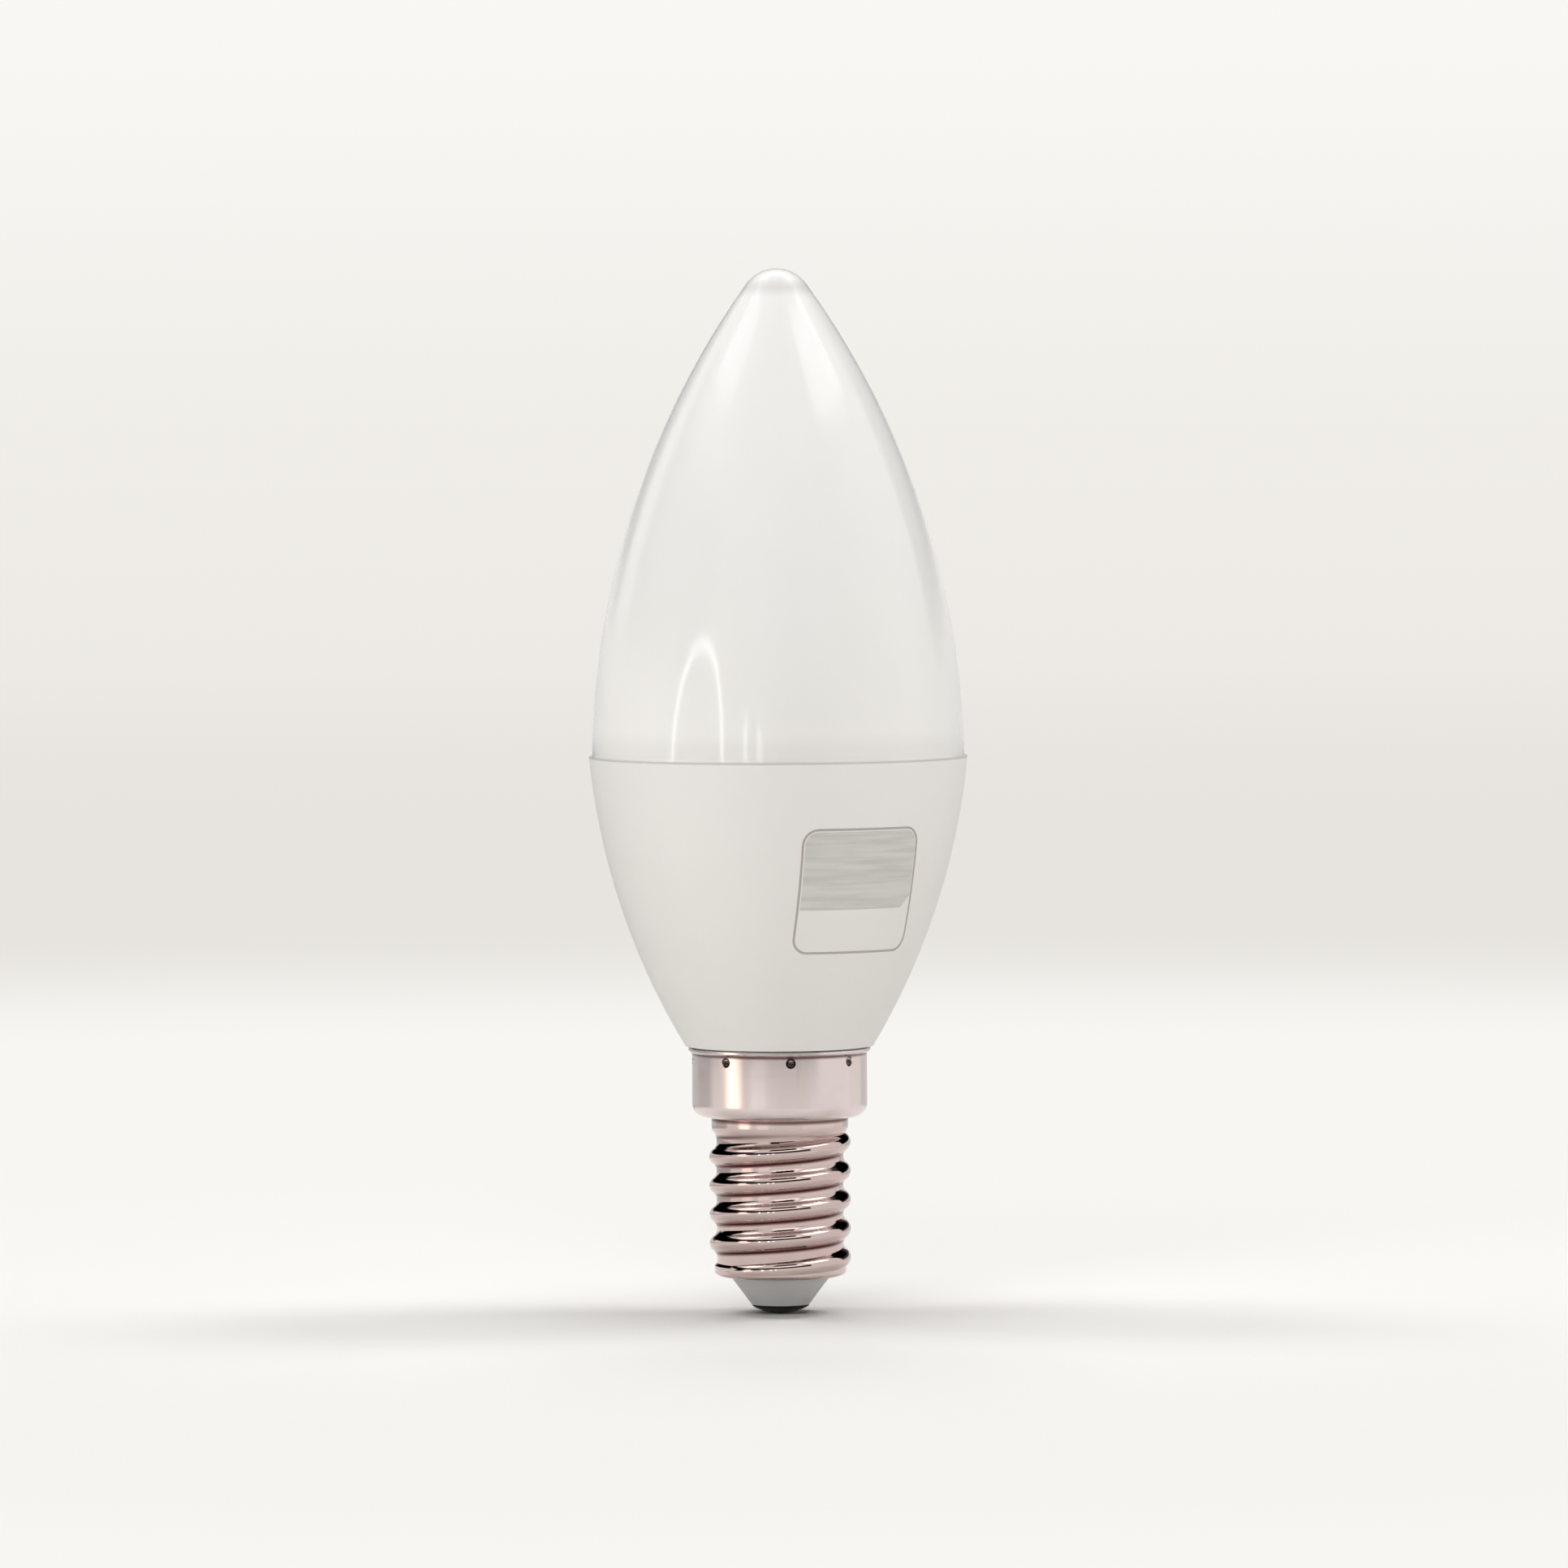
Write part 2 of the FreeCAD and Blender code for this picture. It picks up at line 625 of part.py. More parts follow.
def thread_section(body, name, middle, side, crest):
    """The round ridge of the thread: a crest arc between two hollow arcs of the same radius.

    Side is 1 or -1 for a section at +X or -X, and crest is how far out the ridge reaches there.
    """
    base = thread_pitch / 2 - of_sheet("root_flat") / 4
    base_across = thread_arc_across(of_sheet("root_flat") / 4)
    flank_across = (thread_crest + thread_root) / 2
    bottom_across = thread_root - cap_wall / 2
    places = [
        (bottom_across, middle - base, None),
        (base_across, middle - base, "right"),
        (flank_across, middle - thread_pitch / 4, "left"),
        (flank_across, middle + thread_pitch / 4, "right"),
        (base_across, middle + base, None),
        (bottom_across, middle + base, None),
    ]
    mirrored = {"left": "right", "right": "left"}
    corners = []
    for across, up, turn in places:
        across = (across + crest - thread_crest) * side
        if turn is None:
            corners.append((across, up))
        else:
            bow = (thread_arc, turn if side == 1 else mirrored[turn])
            corners.append((across, up, bow))
    return outline(body, name, "XZ_Plane", corners)


def thread_arc_across(along):
    """Radius of the thread's hollow arc at a distance along the axis from its deepest point."""
    return thread_root + thread_arc - square_root(squared(thread_arc) - squared(along))


def thread_stretch(body, sketch, turns, growth=None):
    """Sweeps a thread section up its helix. Growth is how much the radius changes in half a turn."""
    helix = body.newObject("PartDesign::AdditiveHelix", f"{sketch.Name}_helix")
    helix.Profile = sketch
    helix.ReferenceAxis = (sketch, ["V_Axis"])
    helix.Mode = "pitch-turns-angle"
    helix.setExpression("Pitch", thread_pitch.formula)
    helix.Turns = turns
    helix.Angle = 0
    helix.Refine = False
    if growth is not None:
        slope = f"atan({growth.formula} / ({thread_pitch.formula} / 2))"
        helix.setExpression("Angle", slope)


def cap_shell():
    """The drawn and rolled screw cap: hole, band, thread, throat, skirt, turned-out edge, crimp marks.

    The outside comes first, with the lower part still solid. Then the thread's ridge is wound on,
    and the round bottom edge and the bore are cut last, through blank and ridge alike.
    """
    body = new_body("cap_shell")
    band = thread_root + of_sheet("band_depth")
    edge = of_sheet("bottom_round")
    corner = band - of_sheet("bottom_edge_width")
    band_top = cap_bottom + of_sheet("band_height")
    root = thread_arc_across(of_sheet("root_flat") / 2)
    throat = thread_root + of_sheet("throat_depth")
    throat_bottom = skirt_bottom - of_sheet("throat_height")
    throat_curve = of_sheet("throat_curve")
    throat_arc = named(
        "throat_arc",
        (squared(throat_curve) + squared(throat - root)) / (4 * (throat - root)),
    )
    rim_bottom = skirt_top - of_sheet("flare_rim")
    flare_bottom = rim_bottom - of_sheet("flare_rise")
    inside_round = skirt_round - cap_wall
    below = cap_bottom - thread_pitch
    above = skirt_bottom + thread_pitch
    blank = [
        (0, below),
        (band, below),
        (band, band_top),
        (root, band_top + (band - root)),
        (root, throat_bottom - throat_curve, (throat_arc, "right")),
        ((root + throat) / 2, throat_bottom - throat_curve / 2, (throat_arc, "left")),
        (throat, throat_bottom),
        (throat, skirt_bottom),
        (skirt - skirt_round, skirt_bottom, (skirt_round, "left")),
        (skirt, skirt_bottom + skirt_round),
        (skirt, flare_bottom),
        (skirt + flare, rim_bottom),
        (skirt + flare, skirt_top),
        (skirt_bore + flare, skirt_top),
        (skirt_bore + flare, rim_bottom),
        (skirt_bore, flare_bottom),
        (skirt_bore, skirt_bottom + skirt_round, (inside_round, "right")),
        (skirt - skirt_round, skirt_bottom + cap_wall),
        (0, skirt_bottom + cap_wall),
    ]
    turned(body, outline(body, "cap_blank", "XZ_Plane", blank))
    crimp_marks(body)

    first = cap_bottom + of_sheet("first_crest")
    last = first + THREAD_TURNS * thread_pitch
    thread_sink = of_sheet("thread_sink")
    start_growth = named("thread_start_growth", thread_crest - band + thread_sink)
    end_growth = named("thread_end_growth", -thread_depth - thread_sink / 2)
    main = thread_section(body, "thread_ridge", first, 1, thread_crest)
    thread_stretch(body, main, THREAD_TURNS)
    low = first - thread_pitch / 2
    start = thread_section(body, "thread_start", low, -1, thread_crest - start_growth)
    thread_stretch(body, start, 0.5, start_growth)
    end = thread_section(body, "thread_end", last, 1, thread_crest)
    thread_stretch(body, end, 0.5, end_growth)

    bottom = [
        (0, below - cap_wall),
        (corner + edge, below - cap_wall),
        (corner + edge, cap_bottom + edge, (edge, "right")),
        (corner, cap_bottom),
        (0, cap_bottom),
    ]
    turned(body, outline(body, "bottom_cut", "XZ_Plane", bottom), "Groove")
    bore = [
        (0, below),
        (of_sheet("lip_radius"), below),
        (of_sheet("lip_radius"), cap_floor_top),
        (cap_bore, cap_floor_top),
        (cap_bore, above),
        (0, above),
    ]
    turned(body, outline(body, "bore_cut", "XZ_Plane", bore), "Groove")
    return body


def crimp_marks(body):
    """Punched dents in the skirt, each with its boss on the inside."""
    ball = of_sheet("crimp_ball")
    reach = skirt + of_sheet("crimp_stand_off")
    root = of_sheet("crimp_boss_root")
    for number, degrees in enumerate(crimp_angles(), start=1):
        crimp_cone(
            body,
            "Additive",
            f"crimp_boss_{number}",
            degrees,
            skirt_bore + root,
            ball + cap_wall,
            root + of_sheet("crimp_boss_height"),
        )
        dent = body.newObject("PartDesign::SubtractiveSphere", f"crimp_dent_{number}")
        dent.setExpression("Radius", ball.formula)
        placed_at_crimp(dent, degrees, reach)


def cap_insulator():
    """The insulating plug that closes the cap: cone outside, flange inside, bore for the contact."""
    body = new_body("cap_insulator")
    bore = of_sheet("shank_radius") + gap
    neck = of_sheet("lip_radius") - gap
    corners = [
        (bore, contact_head),
        (of_sheet("contact_radius") + of_sheet("insulator_edge"), contact_head),
        (neck, cap_bottom),
        (neck, cap_floor_top),
        (cap_bore - gap, cap_floor_top),
        (cap_bore - gap, flange_top),
        (bore, flange_top),
    ]
    turned(body, outline(body, "insulator_section", "XZ_Plane", corners))
    return body


def centre_contact():
    """The contact nail: a domed head outside and a shank through the insulator."""
    body = new_body("centre_contact")
    head = of_sheet("contact_radius")
    dome = of_sheet("contact_dome")
    shank = of_sheet("shank_radius")
    dome_radius = (squared(head) + squared(dome)) / (2 * dome)
    corners = [
        (0, 0, (dome_radius, "left")),
        (head, dome),
        (head, contact_head),
        (shank, contact_head),
        (shank, shank_top),
        (0, shank_top),
    ]
    turned(body, outline(body, "contact_section", "XZ_Plane", corners))
    return body


def screw_circle():
    return led_board_radius - of_sheet("screw_inset")


def screw_places():
    return [(side * screw_circle(), 0) for side in SCREW_SIDES]


def heat_spreader():
    """The pressed aluminium cup that takes the heat from the LED board to the housing's wall."""
    body = new_body("heat_spreader")
    corners = [
        (of_sheet("wire_hole"), ledge),
        (across_at(housing_centre, cup_bow, ledge), ledge, (cup_bow, "right")),
        (across_at(housing_centre, cup_bow, spreader_bottom), spreader_bottom),
        (
            across_at(housing_centre, spreader_bow, spreader_bottom),
            spreader_bottom,
            (spreader_bow, "left"),
        ),
        (across_at(housing_centre, spreader_bow, ledge), ledge),
        (spreader_radius, ledge),
        (spreader_radius, spreader_top),
        (of_sheet("wire_hole"), spreader_top),
    ]
    turned(body, outline(body, "spreader_section", "XZ_Plane", corners))
    tapped = of_sheet("screw_radius") + gap / 2
    holes = circles(
        body, "tapped_holes", "XY_Plane", screw_places(), tapped, lift=spreader_top
    )
    sunk(body, holes, of_sheet("spreader_plate") + gap)
    return body


def led_board():
    """The round aluminium-cored board with its wire hole, screw holes and edge notches."""
    body = new_body("led_board")
    edge = led_board_radius
    disc = circles(body, "board_disc", "XY_Plane", [(0, 0)], edge, lift=spreader_top)
    padded(body, disc, of_sheet("board_thickness"))
    wires = circles(body, "wire_hole", "XY_Plane", [(0, 0)], of_sheet("wire_hole"))
    drilled(body, wires)
    clear = of_sheet("screw_radius") + 2 * gap
    drilled(body, circles(body, "screw_holes", "XY_Plane", screw_places(), clear))
    notch_places = [(0, edge), (0, -edge)]
    notches = circles(
        body, "edge_notches", "XY_Plane", notch_places, of_sheet("notch_radius")
    )
    drilled(body, notches)
    return body


def led(number):
    """One LED package with its sunk window, at its place on the ring."""
    body = new_body(f"led_{number}")
    half_length = of_sheet("led_length") / 2
    half_width = of_sheet("led_width") / 2
    frame = of_sheet("led_frame")
    height = of_sheet("led_height")
    package = outline(
        body,
        f"led_{number}_package",
        "XY_Plane",
        rectangle(-half_width, half_width, -half_length, half_length),
    )
    padded(body, package, height)
    inner_width = half_width - frame
    inner_length = half_length - frame
    window = outline(
        body,
        f"led_{number}_window",
        "XY_Plane",
        rectangle(-inner_width, inner_width, -inner_length, inner_length),
        lift=height,
    )
    sunk(body, window, of_sheet("led_window_depth"))
    degrees = FIRST_LED_DEGREES + (number - 1) * 360 / LEDS
    turn = FreeCAD.Rotation(FreeCAD.Vector(0, 0, 1), degrees)
    body.Placement = FreeCAD.Placement(FreeCAD.Vector(), turn)
    circle = (led_board_radius - of_sheet("led_inset")).formula
    body.setExpression("Placement.Base.x", f"{circle} * cos({degrees})")
    body.setExpression("Placement.Base.y", f"{circle} * sin({degrees})")
    body.setExpression("Placement.Base.z", led_board_top.formula)
    return body


def board_screws():
    """Two pan-head screws that hold the LED board on the spreader, as one group of solids."""
    screws = []
    for side in SCREW_SIDES:
        place = side * screw_circle()
        parts = []
        for name, radius, bottom, height in (
            ("head", "screw_head_radius", led_board_top, of_sheet("screw_head_height")),
            (
                "shank",
                "screw_radius",
                led_board_top - of_sheet("screw_length"),
                of_sheet("screw_length"),
            ),
        ):
            cylinder = doc.addObject("Part::Cylinder", f"screw_{name}")
            cylinder.setExpression("Radius", of_sheet(radius).formula)
            cylinder.setExpression("Height", height.formula)
            cylinder.setExpression("Placement.Base.x", place.formula)
            cylinder.setExpression("Placement.Base.z", bottom.formula)
            parts.append(cylinder)
        screw = doc.addObject("Part::Fuse", "screw_blank")
        screw.Base, screw.Tool = parts
        # Two crossed slots in the head
        slots = []
        for name, along in (("slot_x", "Length"), ("slot_y", "Width")):
            slot = doc.addObject("Part::Box", name)
            sizes = {"Length": of_sheet("slot_width"), "Width": of_sheet("slot_width")}
            sizes[along] = of_sheet("screw_head_radius")
            for key, size in sizes.items():
                slot.setExpression(key, size.formula)
            slot.setExpression("Height", (2 * of_sheet("slot_depth")).formula)
            slot.setExpression("Placement.Base.x", (place - sizes["Length"] / 2).formula)
            slot.setExpression("Placement.Base.y", (-sizes["Width"] / 2).formula)
            slot_bottom = (
                led_board_top + of_sheet("screw_head_height") - of_sheet("slot_depth")
            )
            slot.setExpression("Placement.Base.z", slot_bottom.formula)
            slots.append(slot)
        cross = doc.addObject("Part::Fuse", "screw_cross")
        cross.Base, cross.Tool = slots
        cut = doc.addObject("Part::Cut", "screw")
        cut.Base, cut.Tool = screw, cross
        screws.append(cut)
    group = doc.addObject("Part::Compound", "board_screws")
    group.Label = "board_screws"
    group.Links = screws
    return group


def board_terminal():
    """The terminal block over the wire hole, with two wire channels in its underside."""
    body = new_body("board_terminal")
    half_length = of_sheet("terminal_length") / 2
    half_width = of_sheet("terminal_width") / 2
    block = outline(
        body,
        "terminal_block",
        "XY_Plane",
        rectangle(-half_length, half_length, -half_width, half_width),
        lift=led_board_top,
    )
    padded(body, block, of_sheet("terminal_height"))
    spread = of_sheet("wire_spread")
    channel = of_sheet("wire_radius") + gap
    holes = circles(
        body,
        "wire_channels",
        "XY_Plane",
        [(-spread, 0), (spread, 0)],
        channel,
        lift=led_board_top + of_sheet("terminal_height") / 2,
    )
    sunk(body, holes, of_sheet("terminal_height"))
    return body


def driver_board():
    """The driver's circuit board: wide in the housing, narrow in the cap's neck."""
    body = new_body("driver_board")
    wide = driver_half_width
    bottom = driver_bottom
    shoulder = foot_height + of_sheet("shoulder_rise")
    slope_top = shoulder + of_sheet("driver_slope")
    top = driver_top
    corners = [
        (-tab_half_width, bottom),
        (tab_half_width, bottom),
        (tab_half_width, shoulder),
        (wide, slope_top),
        (wide, top),
        (-wide, top),
        (-wide, slope_top),
        (-tab_half_width, shoulder),
    ]
    plate = outline(body, "driver_plate", "XZ_Plane", corners)
    padded(body, plate, of_sheet("driver_thickness"), both_ways=True)
    # Holes for the leads of the parts that stand on the board
    holes = circles(
        body,
        "lead_holes",
        "XZ_Plane",
        capacitor_lead_places() + fuse_lead_places(),
        of_sheet("lead_radius") + gap,
    )
    drilled(body, holes)
    return body


def capacitor_lead_places():
    """Where the smoothing capacitor's two leads go through the board: (across, up)."""
    up = can_bottom - of_sheet("lead_reach")
    half = of_sheet("can_lead_spread") / 2
    return [(can_across - half, up), (can_across + half, up)]


def fuse_lead_places():
    low = fuse_bottom - of_sheet("lead_reach")
    high = fuse_bottom + of_sheet("fuse_length") + of_sheet("lead_reach")
    return [(0, low), (0, high)]


def bent_leads(body, name, across_places, start, level, depth):
    """Bare leads that run from a height to a level and then bend through the board.

    Heights are measured in the body's own frame, whose Y axis points away from the board.
    """
    thickness = of_sheet("lead_radius")
    bend = of_sheet("lead_bend")
    downwards = level.value < start.value
    turn_start = level + bend if downwards else level - bend
    side = "right" if downwards else "left"
    for number, across in enumerate(across_places, start=1):
        section = circles(
            body, f"{name}_section_{number}", "XY_Plane", [(across, 0)], thickness, start
        )
        path = outline(
            body,
            f"{name}_path_{number}",
            "YZ_Plane",
            [(0, start), (0, turn_start, (bend, side)), (-bend, level), (-depth, level)],
            lift=as_size(across),
            closed=False,
        )
        piped(body, section, path)


def lying_on_board(body, across, radius, bottom):
    """Puts a body's axis upright, in front of the driver board and a radius away from it."""
    away = driver_face + hair + radius
    body.setExpression("Placement.Base.x", as_size(across).formula)
    body.setExpression("Placement.Base.y", away.formula)
    body.setExpression("Placement.Base.z", bottom.formula)
    return away + driver_face + of_sheet("lead_end")


def smoothing_capacitor():
    """The electrolytic can, lying along the board, with its two leads bent into it."""
    body = new_body("smoothing_capacitor")
    radius = of_sheet("can_radius")
    length = of_sheet("can_length")
    edge = of_sheet("can_edge")
    corners = [
        (0, 0),
        (radius - edge, 0, (edge, "left")),
        (radius, edge),
        (radius, 3 * edge),
        (radius - edge, 4 * edge),
        (radius, 5 * edge),
        (radius, length - edge, (edge, "left")),
        (radius - edge, length),
        (0, length),
    ]
    turned(body, outline(body, "can_section", "XZ_Plane", corners))
    depth = lying_on_board(body, can_across, radius, can_bottom)
    half = of_sheet("can_lead_spread") / 2
    bent_leads(body, "can_lead", [-half, half], edge, -of_sheet("lead_reach"), depth)
    return body


def fuse_resistor():
    """The axial resistor on the narrow part of the board, with both leads bent into it."""
    body = new_body("fuse_resistor")
    radius = of_sheet("fuse_radius")
    length = of_sheet("fuse_length")
    cap = length / 4
    waist = of_sheet("fuse_waist")
    corners = [
        (0, 0),
        (radius, 0),
        (radius, cap),
        (waist, cap),
        (waist, length - cap),
        (radius, length - cap),
        (radius, length),
        (0, length),
    ]
    turned(body, outline(body, "fuse_section", "XZ_Plane", corners))
    step = of_sheet("lead_reach")
    depth = lying_on_board(body, 0, radius, fuse_bottom)
    bent_leads(body, "low_lead", [0], cap / 2, -step, depth)
    bent_leads(body, "high_lead", [0], length - cap / 2, length + step, depth)
    return body


def choke_frame(body):
    """Puts a body's axis across the driver board, at the choke's place."""
    across_board = FreeCAD.Rotation(FreeCAD.Vector(1, 0, 0), -90)
    body.Placement = FreeCAD.Placement(FreeCAD.Vector(), across_board)
    across = of_sheet("drum_radius") + of_sheet("lane")
    body.setExpression("Placement.Base.x", across.formula)
    body.setExpression("Placement.Base.y", (driver_face + hair).formula)
    up = driver_top - of_sheet("drum_drop")
    body.setExpression("Placement.Base.z", up.formula)
    return body


def choke_core():
    """The ferrite drum of the choke: two flanges and a waist."""
    body = new_body("choke_core")
    flange = of_sheet("drum_flange")
    radius = of_sheet("drum_radius")
    waist = of_sheet("drum_waist")
    height = of_sheet("drum_height")
    corners = [
        (0, 0),
        (radius, 0),
        (radius, flange),
        (waist, flange),
        (waist, height - flange),
        (radius, height - flange),
        (radius, height),
        (0, height),
    ]
    turned(body, outline(body, "drum_section", "XZ_Plane", corners))
    return choke_frame(body)


def choke_winding():
    """The copper winding round the drum's waist."""
    body = new_body("choke_winding")
    inner = of_sheet("drum_waist") + hair
    outer = of_sheet("winding_radius")
    bottom = of_sheet("drum_flange") + hair
    top = of_sheet("drum_height") - of_sheet("drum_flange") - hair
    corners = [(inner, bottom), (outer, bottom), (outer, top), (inner, top)]
    turned(body, outline(body, "winding_section", "XZ_Plane", corners))
    return choke_frame(body)


def on_back(body, name, across, up, length, height, depth):
    """A block on the back face of the driver board."""
    half = length / 2
    sketch = outline(
        body,
        name,
        "XZ_Plane",
        rectangle(across - half, across + half, up, up + height),
        lift=driver_face + hair,
    )
    return padded(body, sketch, depth)


def film_capacitor():
    """The dipped film capacitor: a plain block beside the middle lane."""
    body = new_body("film_capacitor")
    length = of_sheet("film_length")
    height = of_sheet("film_height")
    across = length / 2 + of_sheet("lane")
    up = driver_top - of_sheet("film_drop") - height
    on_back(body, "film_block", across, up, length, height, of_sheet("film_depth"))
    return body


def surface_part(label, size_name, up, legs):
    """A moulded chip with flat legs above and below it, on the back of the driver board."""
    body = new_body(label)
    length = of_sheet(f"{size_name}_length")
    height = of_sheet(f"{size_name}_height")
    depth = of_sheet(f"{size_name}_depth")
    across = -(of_sheet("chip_inset") + of_sheet("chip_length") / 2)
    on_back(body, f"{size_name}_block", across, up, length, height, depth)
    reach = of_sheet("leg_reach")
    pitch = of_sheet("leg_pitch") * (CHIP_LEGS - 1) / (legs - 1)
    for number in range(legs):
        place = across + pitch * (number - (legs - 1) / 2)
        on_back(
            body,
            f"{size_name}_leg_{number + 1}",
            place,
            up - reach,
            of_sheet("leg_width"),
            height + 2 * reach,
            of_sheet("leg_thickness"),
        )
    return body


def rectifier_and_chip():
    """The bridge rectifier near the board's upper edge, and the driver chip below it."""
    bridge_up = driver_top - of_sheet("bridge_drop") - of_sheet("bridge_height")
    legs_and_space = 2 * of_sheet("leg_reach") + of_sheet("chip_space")
    chip_up = bridge_up - legs_and_space - of_sheet("chip_height")
    return [
        surface_part("bridge_rectifier", "bridge", bridge_up, BRIDGE_LEGS),
        surface_part("driver_chip", "chip", chip_up, CHIP_LEGS),
    ]


def wire(label, role, corners, start_across, start_up, lift=None):
    """An insulated wire along an open path, whose first run is upright."""
    body = new_body(label)
    path = outline(body, f"{label}_path", role, corners, lift, closed=False)
    centre = (start_across, 0) if role == "XZ_Plane" else (lift, start_across)
    section = circles(
        body, f"{label}_section", "XY_Plane", [centre], of_sheet("wire_radius"), start_up
    )
    piped(body, section, path)
    return body


def sideways_bend(across, rise):
    """Radius of the two equal arcs that lead an upright wire to a parallel line."""
    return (squared(across) + squared(rise)) / (4 * across)


def board_lead(label, side):
    """A wire from the driver board up to the terminal on the LED board."""
    start = driver_top - of_sheet("solder_length")
    low = driver_top + of_sheet("wire_radius")
    rise = of_sheet("wire_rise")
    bend = sideways_bend(wire_beside, rise)
    path = [
        (wire_beside, start),
        (wire_beside, low, (bend, "left")),
        (wire_beside / 2, low + rise / 2, (bend, "right")),
        (0, low + rise),
        (0, led_board_top + of_sheet("lead_insert")),
    ]
    across = of_sheet("wire_spread") * side
    return wire(label, "YZ_Plane", path, wire_beside, start, across)


def turned_about_axis(body, across, along):
    """Turns a body about the bulb's axis, so that its X axis points at that place."""
    body.Placement.Rotation.Axis = FreeCAD.Vector(0, 0, 1)
    turn = f"atan2({along.formula}; {across.formula})"
    body.setExpression("Placement.Rotation.Angle", turn)
    return body


def live_wire():
    """The wire from the driver board down to the shank of the contact nail."""
    spread = of_sheet("wire_spread")
    out = square_root(squared(wire_beside) + squared(spread))
    start = driver_bottom + of_sheet("solder_length")
    high = driver_bottom - of_sheet("wire_radius")
    rise = of_sheet("wire_rise")
    bend = sideways_bend(out, rise)
    path = [
        (out, start),
        (out, high, (bend, "right")),
        (out / 2, high - rise / 2, (bend, "left")),
        (0, high - rise),
        (0, shank_top),
    ]
    body = wire("live_wire", "XZ_Plane", path, out, start)
    return turned_about_axis(body, spread, wire_beside)


def neutral_wire():
    """The wire from the driver board that is bent out to the wall of the cap."""
    spread = of_sheet("wire_spread")
    out = square_root(squared(wire_beside) + squared(spread))
    start = driver_bottom + of_sheet("solder_length")
    level = (flange_top + neck_bottom) / 2
    bend = of_sheet("wire_bend")
    path = [
        (out, start),
        (out, level + bend, (bend, "left")),
        (out + bend, level),
        (cap_bore - hair, level),
    ]
    body = wire("neutral_wire", "XZ_Plane", path, out, start)
    return turned_about_axis(body, -spread, wire_beside)


PIECES = [
    diffuser(),
    housing(),
    cap_shell(),
    cap_insulator(),
    centre_contact(),
    heat_spreader(),
    led_board(),
    *[led(number) for number in range(1, LEDS + 1)],
    board_screws(),
    board_terminal(),
    board_lead("lead_positive", -1),
    board_lead("lead_negative", 1),
    driver_board(),
    smoothing_capacitor(),
    choke_core(),
    choke_winding(),
    film_capacitor(),
    *rectifier_and_chip(),
    fuse_resistor(),
    live_wire(),
    neutral_wire(),
]
doc.recompute()

failed = [o.Name for o in doc.Objects if {"Invalid", "Error"} & set(o.State)]
if failed:
    raise RuntimeError(f"these did not compute: {failed}")
for piece in PIECES:
    if piece.Shape.isNull() or not piece.Shape.isValid() or not piece.Shape.Solids:
        raise RuntimeError(f"{piece.Label} has no sound solid")

os.makedirs("parts", exist_ok=True)
for piece in PIECES:
    piece.Shape.exportStep(f"parts/{piece.Label}.step")
    box = piece.Shape.BoundBox
    print(
        f"{piece.Label}: {len(piece.Shape.Solids)} solid(s), {piece.Shape.Volume:.1f} mm3, "
        f"z {box.ZMin:.2f} to {box.ZMax:.2f}, radius {max(box.XMax, -box.XMin):.2f}"
    )
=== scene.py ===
# %% [markdown]
# # A candle bulb in a pale studio
#
# The bulb is a milky plastic cover on a white moulded housing, with a rolled screw cap below.
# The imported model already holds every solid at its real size, so this lesson adds what a solid
# can't show: the finishes, the printed badge, and a studio with lamps that light the bulb and
# cards that its metal and its glossy cover reflect. One Blender unit is one metre, and the bulb
# stands on its contact at the origin.

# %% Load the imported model
import math

import bmesh
import bpy
from mathutils import Matrix, Vector


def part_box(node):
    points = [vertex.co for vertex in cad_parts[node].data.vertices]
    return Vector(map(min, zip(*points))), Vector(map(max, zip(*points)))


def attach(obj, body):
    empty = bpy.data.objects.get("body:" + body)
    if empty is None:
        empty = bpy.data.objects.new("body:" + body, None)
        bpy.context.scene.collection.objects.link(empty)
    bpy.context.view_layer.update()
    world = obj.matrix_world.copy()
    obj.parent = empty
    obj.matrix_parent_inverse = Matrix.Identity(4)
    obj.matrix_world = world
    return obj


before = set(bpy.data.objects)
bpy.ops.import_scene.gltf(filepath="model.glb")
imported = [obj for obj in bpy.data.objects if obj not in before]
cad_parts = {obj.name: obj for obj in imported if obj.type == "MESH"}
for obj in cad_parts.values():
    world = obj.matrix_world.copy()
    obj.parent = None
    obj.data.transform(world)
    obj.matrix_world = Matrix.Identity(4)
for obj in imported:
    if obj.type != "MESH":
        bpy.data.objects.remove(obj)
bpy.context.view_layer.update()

MM = 0.001

# %% [markdown]
# ## The camera
#
# The picture was taken with a long lens from slightly above: the seam bends down a little and the
# cap's edges bend more, which puts the lens about a metre away and 94 mm above the ground. A long
# lens keeps the upright sides upright. The bulb leans to the left by a quarter of a degree in the
# picture, so the camera is rolled by that much instead of tilting the bulb.

# %% Camera
CAMERA_DISTANCE = 1000 * MM
CAMERA_HEIGHT = 94 * MM
LOOKS_AT = 51.5 * MM
SIDE_STEP = 0.55 * MM
FRAME_WIDTH = 152.1 * MM
SENSOR = 36.0
CAMERA_ROLL = math.radians(-0.25)
NEAREST_SEEN = 0.05
FARTHEST_SEEN = 20

